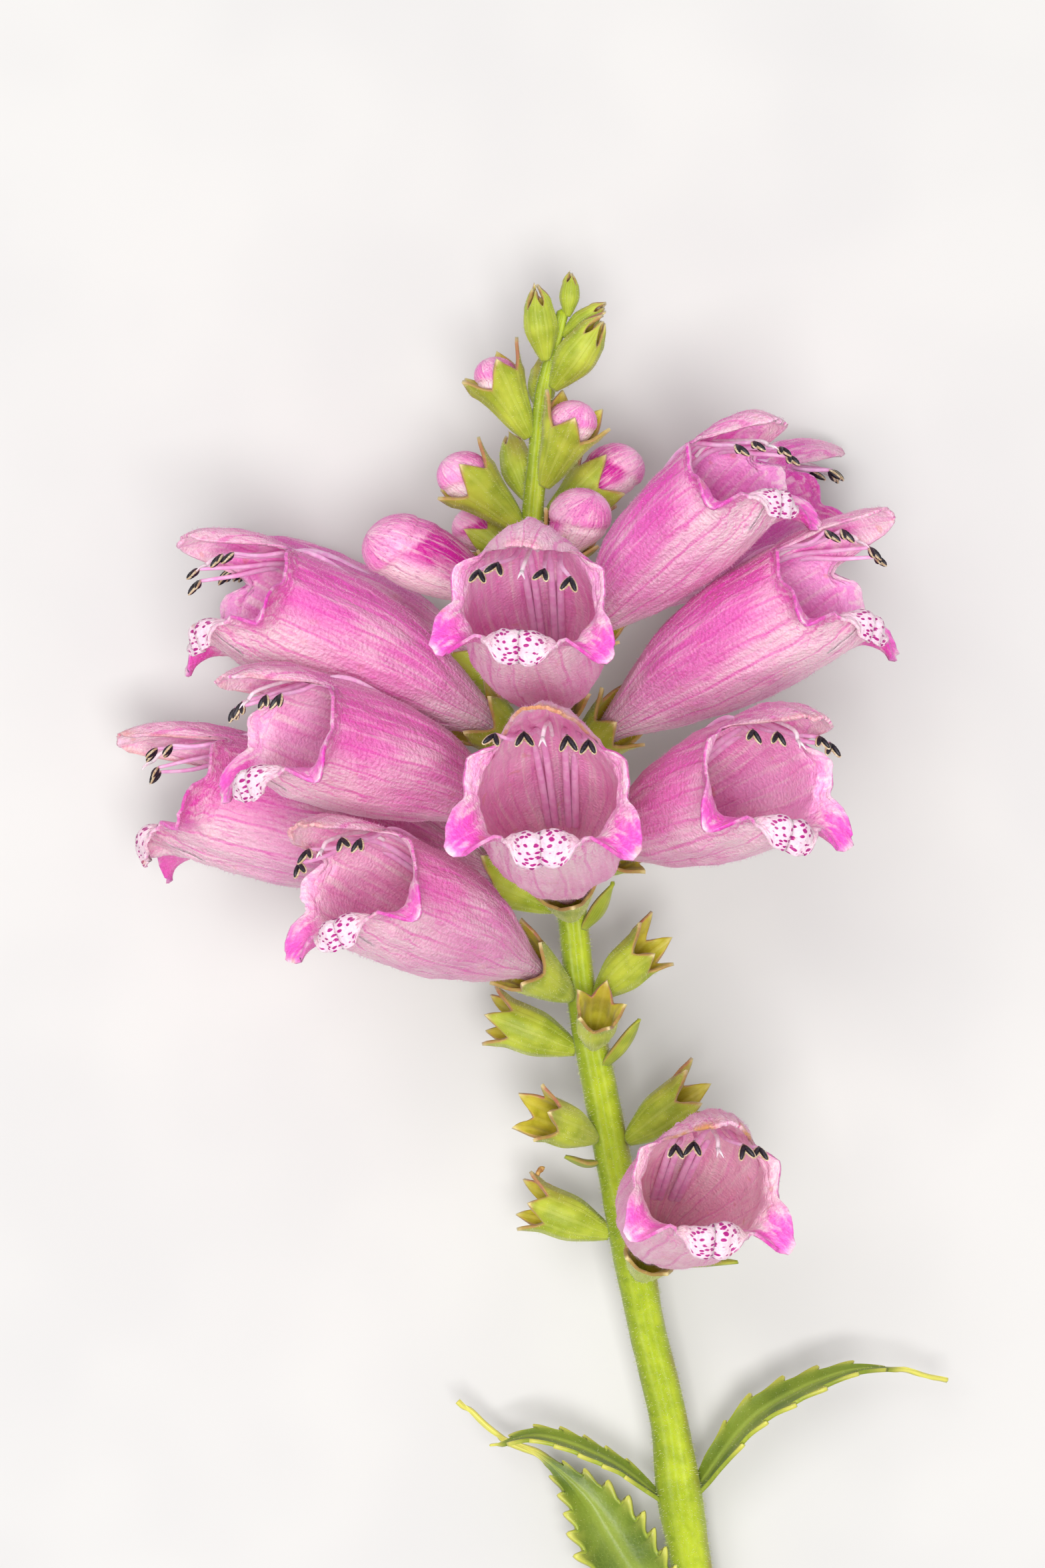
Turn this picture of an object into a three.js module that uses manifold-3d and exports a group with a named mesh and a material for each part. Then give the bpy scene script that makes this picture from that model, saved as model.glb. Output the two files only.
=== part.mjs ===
// Obedient plant stem: one cut flower spike, lying on its two rearmost blooms and its cut end.
// Millimetres, +Z up, +Y along the stem to its tip. A flower's own frame is forward, up (hood side), side.
import * as THREE from "three";
import { mergeVertices } from "three/addons/utils/BufferGeometryUtils.js";
import Module from "manifold-3d";

const wasm = await Module();
wasm.setup();

// Driving dimensions
const wall = 0.6; // thickness of petals, leaves and calyx walls
const seatGap = 0.38; // between pieces that touch
const calyxLift = 11; // degrees by which a calyx rises more than the flower in it
const pedicelHalf = 0.55; // half thickness of a calyx where it meets the stem
const steepFrom = 40; // degrees of rise past which a calyx is cut to the side of the stem
const calyxLength = 6.5; // from the stem to the mouth of an open flower's calyx
const throatAt = 21.5; // from the calyx mouth to the throat of the corolla
const stalkHalf = 0.34; // half thickness of stamens and style
const stalkRoot = 0.64; // how far within the tube their middles start
const antherHigh = 4.7; // height of the anthers over the tube's axis under a hood with no droop
const antherDroop = 4.4; // how much lower they hang under one with full droop
const antherPlaces = [[1.7, 27.4], [3.4, 26.6]]; // how far aside, and ahead of the calyx mouth
const styleAhead = 28; // where the style's tip is, ahead of the calyx mouth
const styleBelow = 0.5; // how much lower than the anthers it hangs
const seed = 11;
const floor = 0; // what the lowest points rest on
const middleAt = [3.035, -24.109]; // middle of the whole, where the origin goes

// Stem: centre line from the cut end to the apex, with its half thickness
const stemPath = [
  [19.6, -89.5, 1.52, 1.75],
  [17.2, -79.0, 3.4, 1.95],
  [14.6, -67.6, 5.2, 1.7],
  [13.3, -60.2, 6.4, 1.95],
  [12.4, -54.0, 7.4, 1.6],
  [10.3, -45.0, 8.8, 1.55],
  [9.3, -39.4, 9.8, 1.75],
  [7.6, -31.4, 11.0, 1.5],
  [6.7, -26.6, 11.8, 1.45],
  [5.5, -20.6, 12.7, 1.4],
  [4.7, -16.0, 13.3, 1.25],
  [4.2, -11.4, 14.0, 1.25],
  [3.5, -5.8, 14.8, 1.15],
  [2.7, 0.2, 15.6, 1.1],
  [2.0, 5.6, 16.4, 1.05],
  [1.5, 11.0, 17.1, 1.0],
  [1.1, 16.3, 17.7, 0.95],
  [0.8, 21.2, 18.2, 0.9],
  [1.2, 26.2, 18.7, 0.85],
  [1.7, 31.7, 19.1, 0.75],
  [2.5, 35.5, 19.4, 0.6],
  [3.4, 39.0, 19.7, 0.5],
];

// Open flowers: height of the foot on the stem, heading seen from the tip of the stem (0 right, 90 down to
// the floor, 180 left, 270 up), rise towards the tip, roll about the axis, size, how much further round the
// stem its calyx heads, and how far its hood droops over the mouth
const openFlowers = {
  a: { foot: 1.7, heading: 204, rise: 24.5, roll: -20, size: 0.965, turn: 0, droop: 0.7 },
  b: { foot: -4.5, heading: 219, rise: 15.0, roll: -8, size: 0.94, turn: 0, droop: 0.6 },
  c: { foot: -17.7, heading: 232, rise: 17.4, roll: -19, size: 0.95, turn: -6, droop: 0.55 },
  d: { foot: -10.3, heading: 182, rise: 15, roll: -22, size: 1.06, turn: 0, droop: 0.55 },
  f1: { foot: 3.4, heading: 264.8, rise: 19, roll: 3, size: 1.0, turn: 6, droop: 0.9 },
  f2: { foot: -11.0, heading: 266, rise: 17.5, roll: 1, size: 1.06, turn: -2, droop: 0.4 },
  g: { foot: -41.2, heading: 279.5, rise: 18, roll: 5, size: 0.97, turn: 0, droop: 0.55 },
  r1: { foot: 8.6, heading: 313, rise: 33, roll: 8, size: 0.87, turn: 0, droop: 0.9 },
  r2: { foot: 1.1, heading: 325, rise: 26.8, roll: 14, size: 0.96, turn: 0, droop: 0.4 },
  r3: { foot: -7.4, heading: 299, rise: 13, roll: 8, size: 0.98, turn: 11, droop: 0.5 },
  a_back: { foot: 7.0, heading: 158.2, rise: 17, roll: 0, size: 0.86, turn: -12, droop: 0.7 },
  r1_back: { foot: 11.3, heading: 27.0, rise: 26, roll: 1, size: 0.86, turn: 0, droop: 0.7 },
};

// Calyces that have dropped their flowers
const emptyCalyces = {
  l1: { foot: -37.8, heading: 185, rise: 22, size: 1.0 },
  l2: { foot: -29.6, heading: 222, rise: 20, size: 0.95 },
  r2: { foot: -29.8, heading: 340, rise: 36, size: 1.0 },
  l3: { foot: -22.2, heading: 180, rise: 22, size: 1.0 },
  f3: { foot: -21.8, heading: 275, rise: 34, size: 0.85 },
  r4: { foot: -17.6, heading: 330, rise: 40, size: 0.95 },
};

// Bracts that stand out from the stem, by length
const bracts = {
  low: { foot: -39.6, heading: 334, rise: -3, length: 7.6 },
  left: { foot: -31.4, heading: 195, rise: 0, length: 2.6 },
  mid: { foot: -22.8, heading: 320, rise: 42, length: 4.6 },
  high: { foot: -11.4, heading: 322, rise: 46, length: 4.2 },
};

// Buds, lowest first: how far the pink bud stands out of its calyx (0 where it is still shut in), and how wide
// it is
const buds = {
  left_large: { foot: 13.8, heading: 192, rise: 30, size: 0.8, bud: 10.4, width: 2.9 },
  right_purple: { foot: 16.2, heading: 308, rise: 50, size: 0.85, bud: 5.0, width: 2.5 },
  left_mid: { foot: 21.0, heading: 188, rise: 42, size: 0.95, bud: 3.2, width: 2.1 },
  left_low_back: { foot: 17.8, heading: 145, rise: 36, size: 0.7, bud: 4.0, width: 1.9 },
  right_back: { foot: 21.2, heading: 22, rise: 38, size: 0.9, bud: 5.4, width: 2.2 },
  left_back: { foot: 23.4, heading: 118, rise: 58, size: 0.75, bud: 0, width: 0 },
  right_mid: { foot: 24.4, heading: 322, rise: 60, size: 0.95, bud: 2.4, width: 2.0 },
  left_high: { foot: 28.4, heading: 194, rise: 60, size: 0.92, bud: 2.2, width: 1.7 },
  right_low_back: { foot: 28.0, heading: 54, rise: 42, size: 0.6, bud: 0, width: 0 },
  right_high: { foot: 32.4, heading: 328, rise: 48, size: 0.85, bud: 0, width: 0 },
  back_high: { foot: 30.6, heading: 90, rise: 58, size: 0.6, bud: 0, width: 0 },
  left_top: { foot: 34.6, heading: 236, rise: 76, size: 0.72, bud: 0, width: 0 },
  right_top: { foot: 36.4, heading: 350, rise: 36, size: 0.5, bud: 0, width: 0 },
  apex: { foot: 38.2, heading: 330, rise: 84, size: 0.42, bud: 0, width: 0 },
};

// Leaves: points of the midrib from the stem outwards, greatest half width, which way the upper face looks,
// the number of teeth, and the shares of the length between which the blade narrows to its thin tip
const leaves = {
  right: {
    rib: [[14.6, -59.9, 6.6], [19.6, -53.4, 8.0], [26.4, -49.8, 8.4], [31.4, -49.4, 7.4], [36.2, -50.6, 5.8]],
    half: 1.65, face: [-0.25, 0.75, 0.6], teeth: 7, slim: [0.35, 0.85],
  },
  left: {
    rib: [[12.0, -60.6, 6.9], [7.2, -57.0, 8.6], [1.6, -55.0, 8.6], [-2.8, -56.0, 7.4]],
    half: 1.15, face: [0.2, 0.85, 0.5], teeth: 6, slim: [0.8, 1],
  },
  left_low: {
    rib: [
      [15.6, -77.2, 4.2], [11.4, -70.2, 6.0], [8.0, -64.7, 6.6], [5.2, -60.4, 6.3], [1.4, -57.1, 5.6],
      [-2.6, -55.2, 5.2], [-5.4, -52.4, 5.4],
    ],
    half: 2.9, face: [-0.1, 0.35, 0.93], teeth: 12, slim: [0.44, 0.78],
  },
  right_low: {
    rib: [[19.0, -80.2, 3.8], [26.0, -80.6, 5.4], [33.0, -84.4, 5.2], [39.6, -89.4, 3.0]],
    half: 3.0, face: [0.15, 0.35, 0.92], teeth: 10, slim: [0.4, 0.88],
  },
};

// Corolla: half thickness and centre of the tube at distances from the calyx mouth
const tubeRadius = [[-3.3, 0.55], [0, 1.5], [3, 2.6], [8, 4.2], [13, 5.2], [17, 5.6], [21.5, 5.6]];
const tubeWidth = [[3, 1], [9, 1.08], [15, 1.03], [21.5, 0.94]]; // its width as a share of its height
const tubePinch = [[8, 0], [18, 0.28]]; // how much narrower it is under the hood
const tubeCentre = [[0, 0], [12, 0.6], [21.5, 0.6]];
// Round the mouth from the middle of the hood (0) to the middle of the lip (1): how far the limb reaches past
// the throat, and the angle it turns outwards, at its root and at its edge
const limbReach = [
  [0, 10], [0.13, 9.7], [0.22, 8.2], [0.27, 4.6], [0.32, 0.8], [0.42, 1.9], [0.55, 1.5], [0.66, 4.0],
  [0.75, 4.5], [0.81, 3.4], [0.87, 6.8], [0.92, 8.2], [1, 8.0],
];
const limbTurnRoot = [[0, -4], [0.32, 0], [0.42, 8], [0.55, 8], [0.7, 12], [0.81, -10], [1, -10]];
const limbTurnEdge = [
  [0, -75], [0.27, -60], [0.32, 10], [0.42, 45], [0.55, 45], [0.66, 90], [0.75, 100], [0.81, -6],
  [0.87, 128], [1, 128],
];
const hoodTo = 0.3; // where the hood ends
const lipFrom = 0.84; // where the lip, which folds over at its end, begins
const lobeFrom = 0.6; // where the side lobe begins
const sideLobe = 0.73;
const tubeStations = [-3.3, 0, 9, throatAt];
const limbStations = [0.38, 0.72, 1];

// Value at a place, straight between the [place, value] pairs on either side of it
function along(stops, place) {
  let k = 1;
  while (k < stops.length - 1 && stops[k][0] < place) k += 1;
  const [x0, y0] = stops[k - 1];
  const [x1, y1] = stops[k];
  const t = Math.min(1, Math.max(0, (place - x0) / (x1 - x0)));
  return y0 + (y1 - y0) * t;
}

function randomFrom(start) {
  let state = start;
  return () => {
    state = (state * 1664525 + 1013904223) % 4294967296;
    return state / 4294967296;
  };
}

// Axes of something that leaves the stem: forward, up (towards the tip of the stem) and side
function axesFor({ heading, rise, roll = 0 }) {
  const h = THREE.MathUtils.degToRad(heading);
  const e = THREE.MathUtils.degToRad(rise);
  const forward = new THREE.Vector3(Math.cos(e) * Math.cos(h), Math.sin(e), -Math.cos(e) * Math.sin(h));
  const tip = new THREE.Vector3(0, 1, 0);
  const up = tip.addScaledVector(forward, -tip.dot(forward)).normalize();
  up.applyAxisAngle(forward, -THREE.MathUtils.degToRad(roll));
  const side = new THREE.Vector3().crossVectors(forward, up);
  return { forward, up, side };
}

function placed(axes, origin, size, [ahead, high, aside]) {
  return origin
    .clone()
    .addScaledVector(axes.forward, ahead * size)
    .addScaledVector(axes.up, high * size)
    .addScaledVector(axes.side, aside * size);
}

// Stem centre, half thickness and a point on its surface at a height along the stem
const stemCurve = new THREE.CatmullRomCurve3(stemPath.map(([x, y, z]) => new THREE.Vector3(x, y, z)));
const stemQuarter = [[0, 0.92], [33, 1.1], [57, 1.1], [90, 0.92]];
const stemByHeight = [0, 2, 3].map((column) => stemPath.map((row) => [row[1], row[column]]));

function stemAt(height) {
  const [x, z, half] = stemByHeight.map((stops) => along(stops, height));
  return { centre: new THREE.Vector3(x, height, z), half };
}

// The start of what grows from the stem at a height: on the stem's surface, facing outwards
function footOf(spec) {
  const { centre, half } = stemAt(spec.foot);
  const axes = axesFor(spec);
  const out = axes.forward.clone().setY(0).normalize();
  const fromFace = THREE.MathUtils.radToDeg(Math.atan2(out.z, out.x)) % 90;
  const share = along(stemQuarter, fromFace < 0 ? fromFace + 90 : fromFace);
  return { axes, foot: centre.addScaledVector(out, half * share) };
}

// The calyx of an open flower rises more than its corolla, and may head further round the stem
function lifted(spec) {
  return { ...spec, rise: spec.rise + calyxLift, heading: spec.heading + spec.turn, size: 1 };
}

// A closed solid from vertices and faces
function solidFrom(points, faces) {
  const geometry = new THREE.BufferGeometry();
  geometry.setAttribute("position", new THREE.Float32BufferAttribute(points.flatMap((p) => p.toArray()), 3));
  geometry.setIndex(faces.flat());
  return solidOf(geometry);
}

function solidOf(geometry) {
  geometry.deleteAttribute("normal");
  geometry.deleteAttribute("uv");
  const merged = mergeVertices(geometry, 1e-4);
  return new wasm.Manifold(
    new wasm.Mesh({
      numProp: 3,
      vertProperties: merged.attributes.position.array,
      triVerts: new Uint32Array(merged.index.array),
    }),
  );
}

// The solid's geometry, with what would be below the floor pressed flat on it
function geometryOf(solid) {
  const pressed = solid.warp((vertex) => {
    vertex[2] = Math.max(floor, vertex[2]);
  });
  const mesh = pressed.getMesh();
  const geometry = new THREE.BufferGeometry();
  geometry.setAttribute("position", new THREE.Float32BufferAttribute(mesh.vertProperties, 3));
  geometry.setIndex([...mesh.triVerts]);
  geometry.computeVertexNormals();
  return geometry;
}

// Faces between two rings of vertices, given by their first vertex numbers; the second half of the ring is
// split along the other diagonal
function band(start, next, columns, closed, flip) {
  const faces = [];
  const last = closed ? columns : columns - 1;
  for (let j = 0; j < last; j += 1) {
    const k = (j + 1) % columns;
    const [p, q, r, s] = [start + j, start + k, next + k, next + j];
    const pair = j * 2 < columns ? [[p, q, r], [p, r, s]] : [[p, q, s], [q, r, s]];
    for (const [a, b, c] of pair) faces.push(flip ? [a, c, b] : [a, b, c]);
  }
  return faces;
}

function fan(centre, start, columns, flip) {
  const faces = [];
  for (let j = 0; j < columns; j += 1) {
    const k = (j + 1) % columns;
    faces.push(flip ? [centre, start + k, start + j] : [centre, start + j, start + k]);
  }
  return faces;
}

// A cup with a wall: rows of rings, outside from the base up to the rim, inside from row innerFrom
function cup(rows, thickness, innerFrom) {
  const columns = rows[0].length;
  const points = rows.flat();
  const normals = points.map(() => new THREE.Vector3());
  const faces = [];
  for (let i = 0; i < rows.length - 1; i += 1) {
    faces.push(...band(i * columns, (i + 1) * columns, columns, true, false));
  }
  for (const [a, b, c] of faces) {
    const normal = new THREE.Vector3()
      .subVectors(points[b], points[a])
      .cross(new THREE.Vector3().subVectors(points[c], points[a]));
    for (const k of [a, b, c]) normals[k].add(normal);
  }
  const innerStart = points.length;
  for (let k = innerFrom * columns; k < innerStart; k += 1) {
    points.push(points[k].clone().addScaledVector(normals[k].normalize(), -thickness));
  }
  const innerRows = rows.length - innerFrom;
  for (let i = 0; i < innerRows - 1; i += 1) {
    const start = innerStart + i * columns;
    faces.push(...band(start, start + columns, columns, true, true));
  }
  const rim = (rows.length - 1) * columns;
  faces.push(...band(rim, innerStart + (innerRows - 1) * columns, columns, true, false));
  const baseCentre = points.push(middleOf(points.slice(0, columns))) - 1;
  faces.push(...fan(baseCentre, 0, columns, true));
  const floorCentre = points.push(middleOf(points.slice(innerStart, innerStart + columns))) - 1;
  faces.push(...fan(floorCentre, innerStart, columns, false));
  return facingOut(points, faces);
}

// A closed solid round rows of rings, with a pole at each end
function pod(rows) {
  const columns = rows[0].length;
  const points = rows.flat();
  const faces = [];
  for (let i = 0; i < rows.length - 1; i += 1) {
    faces.push(...band(i * columns, (i + 1) * columns, columns, true, false));
  }
  const baseCentre = points.push(middleOf(rows[0])) - 1;
  faces.push(...fan(baseCentre, 0, columns, true));
  const tipCentre = points.push(middleOf(rows[rows.length - 1])) - 1;
  faces.push(...fan(tipCentre, (rows.length - 1) * columns, columns, false));
  return facingOut(points, faces);
}

function facingOut(points, faces) {
  const made = solidFrom(points, faces);
  if (made.volume() > 0) return made;
  return solidFrom(points, faces.map(([a, b, c]) => [a, c, b]));
}

function middleOf(ring) {
  const sum = ring.reduce((total, p) => total.add(p), new THREE.Vector3());
  return sum.divideScalar(ring.length);
}

// Tube of the corolla in its own frame, where turn is the angle round from the hood side
function tubePoint(ahead, turn) {
  const half = along(tubeRadius, ahead);
  const width = along(tubeWidth, ahead) * (1 - along(tubePinch, ahead) * Math.max(0, Math.cos(turn)));
  const high = along(tubeCentre, ahead) + half * Math.cos(turn);
  return [ahead, high, half * width * Math.sin(turn)];
}

// How much of the limb's turn is made at a share t of its reach: the hood curls near its edge, the lip folds
function limbEase(place, t) {
  if (place < hoodTo) return Math.pow(t, 1.5);
  return place > lipFrom ? THREE.MathUtils.smoothstep(t, 0.55, 0.85) : t;
}

// Which way round the mouth the limb turns: the hood and the lip mostly down and up, the side lobes aside
function limbHeading(place) {
  if (place < hoodTo) return 0.4 * place;
  if (place > lipFrom) return 1 - 0.4 * (1 - place);
  if (place > lobeFrom) return sideLobe + 0.3 * (place - sideLobe);
  return place;
}

// A point of the corolla: station along it (past 1 on the limb) and round from -1 to 1, 0 at the hood
function corollaPoint(ahead, limb, round, droop) {
  const turn = Math.PI * round;
  const start = tubePoint(ahead, turn);
  if (limb === 0) return start;
  const place = Math.abs(round);
  const reach = along(limbReach, place);
  const root = along(limbTurnRoot, place);
  const edge = along(limbTurnEdge, place) * (place < hoodTo ? droop : 1);
  const steps = 8;
  let ahead2 = start[0];
  let out = 0;
  for (let k = 0; k < steps; k += 1) {
    const t = ((k + 0.5) / steps) * limb;
    const angle = THREE.MathUtils.degToRad(root + (edge - root) * limbEase(place, t));
    ahead2 += (Math.cos(angle) * reach * limb) / steps;
    out += (Math.sin(angle) * reach * limb) / steps;
  }
  const outTurn = Math.sign(round) * Math.PI * limbHeading(place);
  return [ahead2, start[1] + out * Math.cos(outTurn), start[2] + out * Math.sin(outTurn)];
}

function stalk(path, half, sides) {
  const curve = new THREE.CatmullRomCurve3(path);
  const section = new THREE.Shape();
  for (let k = 0; k < sides; k += 1) {
    const angle = (k / sides) * 2 * Math.PI;
    const point = [half * Math.cos(angle), half * Math.sin(angle)];
    if (k === 0) section.moveTo(...point);
    else section.lineTo(...point);
  }
  section.closePath();
  const settings = { steps: path.length - 1, extrudePath: curve, bevelEnabled: false };
  return solidOf(new THREE.ExtrudeGeometry(section, settings));
}

function anther(axes, middle, length, half) {
  const ends = [axes.side, axes.up, axes.forward];
  const sizes = [length / 2, half, half];
  const points = [];
  for (let k = 0; k < 3; k += 1) {
    points.push(middle.clone().addScaledVector(ends[k], sizes[k]));
    points.push(middle.clone().addScaledVector(ends[k], -sizes[k]));
  }
  const faces = [
    [0, 2, 4], [2, 1, 4], [1, 3, 4], [3, 0, 4], [2, 0, 5], [1, 2, 5], [3, 1, 5], [0, 3, 5],
  ];
  return facingOut(points, faces);
}

const corollaRounds = limbReach.map(([place]) => place);

function corolla(spec) {
  const stalked = footOf(lifted(spec));
  const axes = axesFor(spec);
  const size = spec.size;
  const mouth = stalked.foot.addScaledVector(stalked.axes.forward, calyxLength);
  const rounds = [...corollaRounds, ...corollaRounds.slice(1, -1).reverse().map((place) => -place)];
  const rows = tubeStations.map((ahead) => {
    const inCalyx = Math.min(0, ahead);
    const origin = mouth.clone().addScaledVector(stalked.axes.forward, inCalyx * size);
    return rounds.map((round) => {
      const point = corollaPoint(ahead, 0, round, spec.droop);
      return placed(axes, origin, size, [point[0] - inCalyx, point[1], point[2]]);
    });
  });
  for (const limb of limbStations) {
    const points = rounds.map((round) => corollaPoint(throatAt, limb, round, spec.droop));
    rows.push(points.map((point) => placed(axes, mouth, size, point)));
  }
  let made = cup(rows, wall, 1);
  const at = (point) => placed(axes, mouth, size, point);
  const rootAt = (turn) => {
    const [ahead, high, aside] = tubePoint(19.5, turn);
    return at([ahead, high - stalkRoot * Math.cos(turn), aside - stalkRoot * Math.sin(turn)]);
  };
  const high = antherHigh - antherDroop * spec.droop;
  for (const [aside, ahead] of antherPlaces) {
    for (const sign of [1, -1]) {
      const path = [rootAt(sign * aside * 0.16), at([ahead, high, sign * aside])];
      made = made.add(stalk(path, stalkHalf, 3));
      made = made.add(anther(axes, path[1], 1.9, 0.55));
    }
  }
  return made.add(stalk([rootAt(0), at([styleAhead, high - styleBelow, 0])], stalkHalf, 3));
}

// Calyx rows: half thickness at distances from the stem, then the rim with its five teeth
const calyxProfile = [[1.3, 1.15], [4.0, 1.95]];
const calyxRim = { valley: 6.0, valleyHalf: 2.4, tip: 7.9, tipHalf: 3.15 };

function calyxRows(axes, foot, size, rim) {
  const columns = 10;
  const tilt = Math.asin(axes.forward.y);
  const steep = THREE.MathUtils.radToDeg(tilt) > steepFrom;
  const start = steep ? 0 : (seatGap + pedicelHalf * Math.sin(tilt)) / Math.cos(tilt);
  const profile = [[start / size, pedicelHalf / size], ...calyxProfile];
  const rows = profile.map(([ahead, half]) => ring(axes, foot, size, columns, () => [ahead, half]));
  rows.push(
    ring(axes, foot, size, columns, (k) => (k % 2 ? [rim.tip, rim.tipHalf] : [rim.valley, rim.valleyHalf])),
  );
  return rows;
}

function ring(axes, foot, size, columns, profile) {
  const points = [];
  for (let k = 0; k < columns; k += 1) {
    const [ahead, half] = profile(k);
    const angle = (k / columns) * 2 * Math.PI + Math.PI / columns;
    points.push(placed(axes, foot, size, [ahead, half * Math.cos(angle), half * Math.sin(angle)]));
  }
  return points;
}

function calyx(spec, rim = calyxRim) {
  const { axes, foot } = footOf(spec);
  return cup(calyxRows(axes, foot, spec.size, rim), wall, 1);
}

const emptyRim = { valley: 6.0, valleyHalf: 2.0, tip: 7.9, tipHalf: 2.45 };
const shutRim = { valley: 6.6, valleyHalf: 1.55, tip: 8.6, tipHalf: 0.55 };
const budRim = { valley: 5.6, valleyHalf: 2.6, tip: 7.6, tipHalf: 3.2 };

// A calyx that is still shut, with its teeth drawn together
function shutCalyx(spec) {
  const { axes, foot } = footOf(spec);
  return pod(calyxRows(axes, foot, spec.size, shutRim));
}

// The bud of a corolla: inside the calyx it is narrow, outside it swells to its width and rounds off
function budCorolla(spec) {
  const { axes, foot } = footOf(spec);
  const columns = 8;
  const mouth = budRim.valley * spec.size;
  const inside = (1.85 * spec.size - wall) * 0.55;
  const collar = (budRim.valleyHalf - 0.2) * spec.size - wall - seatGap;
  const profile = [
    [3.4 * spec.size, inside],
    [mouth, collar],
    [mouth + spec.bud * 0.5, Math.max(collar, spec.width)],
    [mouth + spec.bud * 0.95, spec.width * 0.6],
  ];
  return pod(profile.map(([ahead, half]) => ring(axes, foot, 1, columns, () => [ahead, half])));
}

// Pointed bract under a flower: a thin wedge that starts inside the stem
function bract(spec) {
  const { axes, foot } = footOf(spec);
  const length = spec.length;
  const half = 0.9;
  const at = (point) => placed(axes, foot, 1, point);
  const points = [
    at([-1.0, 0, -0.5]), at([-1.0, 0, 0.5]), at([length * 0.4, -0.3, half]), at([length, 0.4, 0]),
    at([length * 0.4, -0.3, -half]),
  ];
  const top = points.length;
  const all = [...points, ...points.map((p) => p.clone().addScaledVector(axes.up, -wall))];
  const faces = [[0, 1, 2], [0, 2, 4], [4, 2, 3]];
  const under = faces.map(([a, b, c]) => [a + top, c + top, b + top]);
  const edges = [];
  for (let k = 0; k < top; k += 1) {
    const next = (k + 1) % top;
    edges.push([k, k + top, next + top], [k, next + top, next]);
  }
  return facingOut(all, [...faces, ...under, ...edges]);
}

// Square stem with rounded corners and a groove down each face; grow thickens it all round
function stemSolid(grow) {
  const rings = 22;
  const rows = [];
  for (let i = 0; i <= rings; i += 1) {
    const t = i / rings;
    const centre = stemCurve.getPoint(t);
    const half = along(stemByHeight[2], centre.y) + grow;
    const ahead = stemCurve.getTangent(t);
    const side = new THREE.Vector3(1, 0, 0).addScaledVector(ahead, -ahead.x).normalize();
    const up = new THREE.Vector3().crossVectors(side, ahead);
    const row = [];
    for (let q = 0; q < 4; q += 1) {
      for (const [degrees, share] of stemQuarter.slice(0, 3)) {
        const angle = THREE.MathUtils.degToRad(degrees + 90 * q);
        row.push(
          centre
            .clone()
            .addScaledVector(side, half * share * Math.cos(angle))
            .addScaledVector(up, half * share * Math.sin(angle)),
        );
      }
    }
    rows.push(row);
  }
  return pod(rows);
}

// A narrow leaf: hooked teeth along both edges, a rib and a long thin tip
function leaf(spec, random) {
  const curve = new THREE.CatmullRomCurve3(spec.rib.map((p) => new THREE.Vector3(...p)));
  const face = new THREE.Vector3(...spec.face).normalize();
  const stations = spec.teeth * 2 + 4;
  const rows = [];
  for (let i = 0; i <= stations; i += 1) {
    const t = i / stations;
    const centre = curve.getPointAt(t);
    const ahead = curve.getTangentAt(t);
    const side = new THREE.Vector3().crossVectors(ahead, face).normalize();
    const up = new THREE.Vector3().crossVectors(side, ahead);
    const slimmed = 1 - 0.85 * THREE.MathUtils.smoothstep(t, ...spec.slim);
    const belly = Math.pow(Math.sin(Math.PI * Math.min(1, 0.12 + 0.88 * t)), 0.8) * slimmed;
    const toothed = i > 1 && i < stations - 2;
    const bite = toothed ? (i % 2 ? 1.12 : 0.86) : 1;
    const half = Math.max(0.3, spec.half * belly * bite * (0.97 + 0.06 * random()));
    const lift = half * 0.22;
    const point = (aside, high) => centre.clone().addScaledVector(side, aside).addScaledVector(up, high);
    rows.push([point(-half, lift), point(0, -0.1), point(half, lift)]);
  }
  return slab(rows, wall);
}

// A thin blade with two like faces from rows of points across it
function slab(rows, thickness) {
  const columns = rows[0].length;
  const points = rows.flat();
  const top = points.length;
  const faces = [];
  for (let i = 0; i < rows.length - 1; i += 1) {
    faces.push(...band(i * columns, (i + 1) * columns, columns, false, false));
  }
  const normals = points.map(() => new THREE.Vector3());
  for (const [a, b, c] of faces) {
    const normal = new THREE.Vector3()
      .subVectors(points[b], points[a])
      .cross(new THREE.Vector3().subVectors(points[c], points[a]));
    for (const k of [a, b, c]) normals[k].add(normal);
  }
  const under = points.map((p, k) => p.clone().addScaledVector(normals[k].normalize(), -thickness));
  const all = [...points, ...under];
  const closed = [...faces, ...faces.map(([a, b, c]) => [a + top, c + top, b + top])];
  const outline = [];
  for (let j = 0; j < columns; j += 1) outline.push(j);
  for (let i = 1; i < rows.length; i += 1) outline.push(i * columns + columns - 1);
  for (let j = columns - 2; j >= 0; j -= 1) outline.push((rows.length - 1) * columns + j);
  for (let i = rows.length - 2; i > 0; i -= 1) outline.push(i * columns);
  outline.forEach((a, k) => {
    const b = outline[(k + 1) % outline.length];
    closed.push([a, a + top, b + top], [a, b + top, b]);
  });
  return facingOut(all, closed);
}

// Assembly
const spike = new THREE.Group();
const petalPink = { color: 0xd982c6, roughness: 0.6, metalness: 0 };
const budPink = { color: 0xc24fb0, roughness: 0.55, metalness: 0 };
const calyxGreen = { color: 0xa3a83c, roughness: 0.6, metalness: 0 };
const stemGreen = { color: 0x9cb52f, roughness: 0.5, metalness: 0 };
const leafGreen = { color: 0x4f7a2c, roughness: 0.5, metalness: 0 };

function addNode(name, solid, look) {
  const mesh = new THREE.Mesh(geometryOf(solid), new THREE.MeshStandardMaterial(look));
  mesh.name = name;
  spike.add(mesh);
}

const clearOfStem = stemSolid(seatGap);

// What is left of a piece clear of the stem
function seated(solid) {
  const bodies = solid.subtract(clearOfStem).decompose();
  return bodies.sort((p, q) => q.volume() - p.volume())[0];
}

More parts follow.
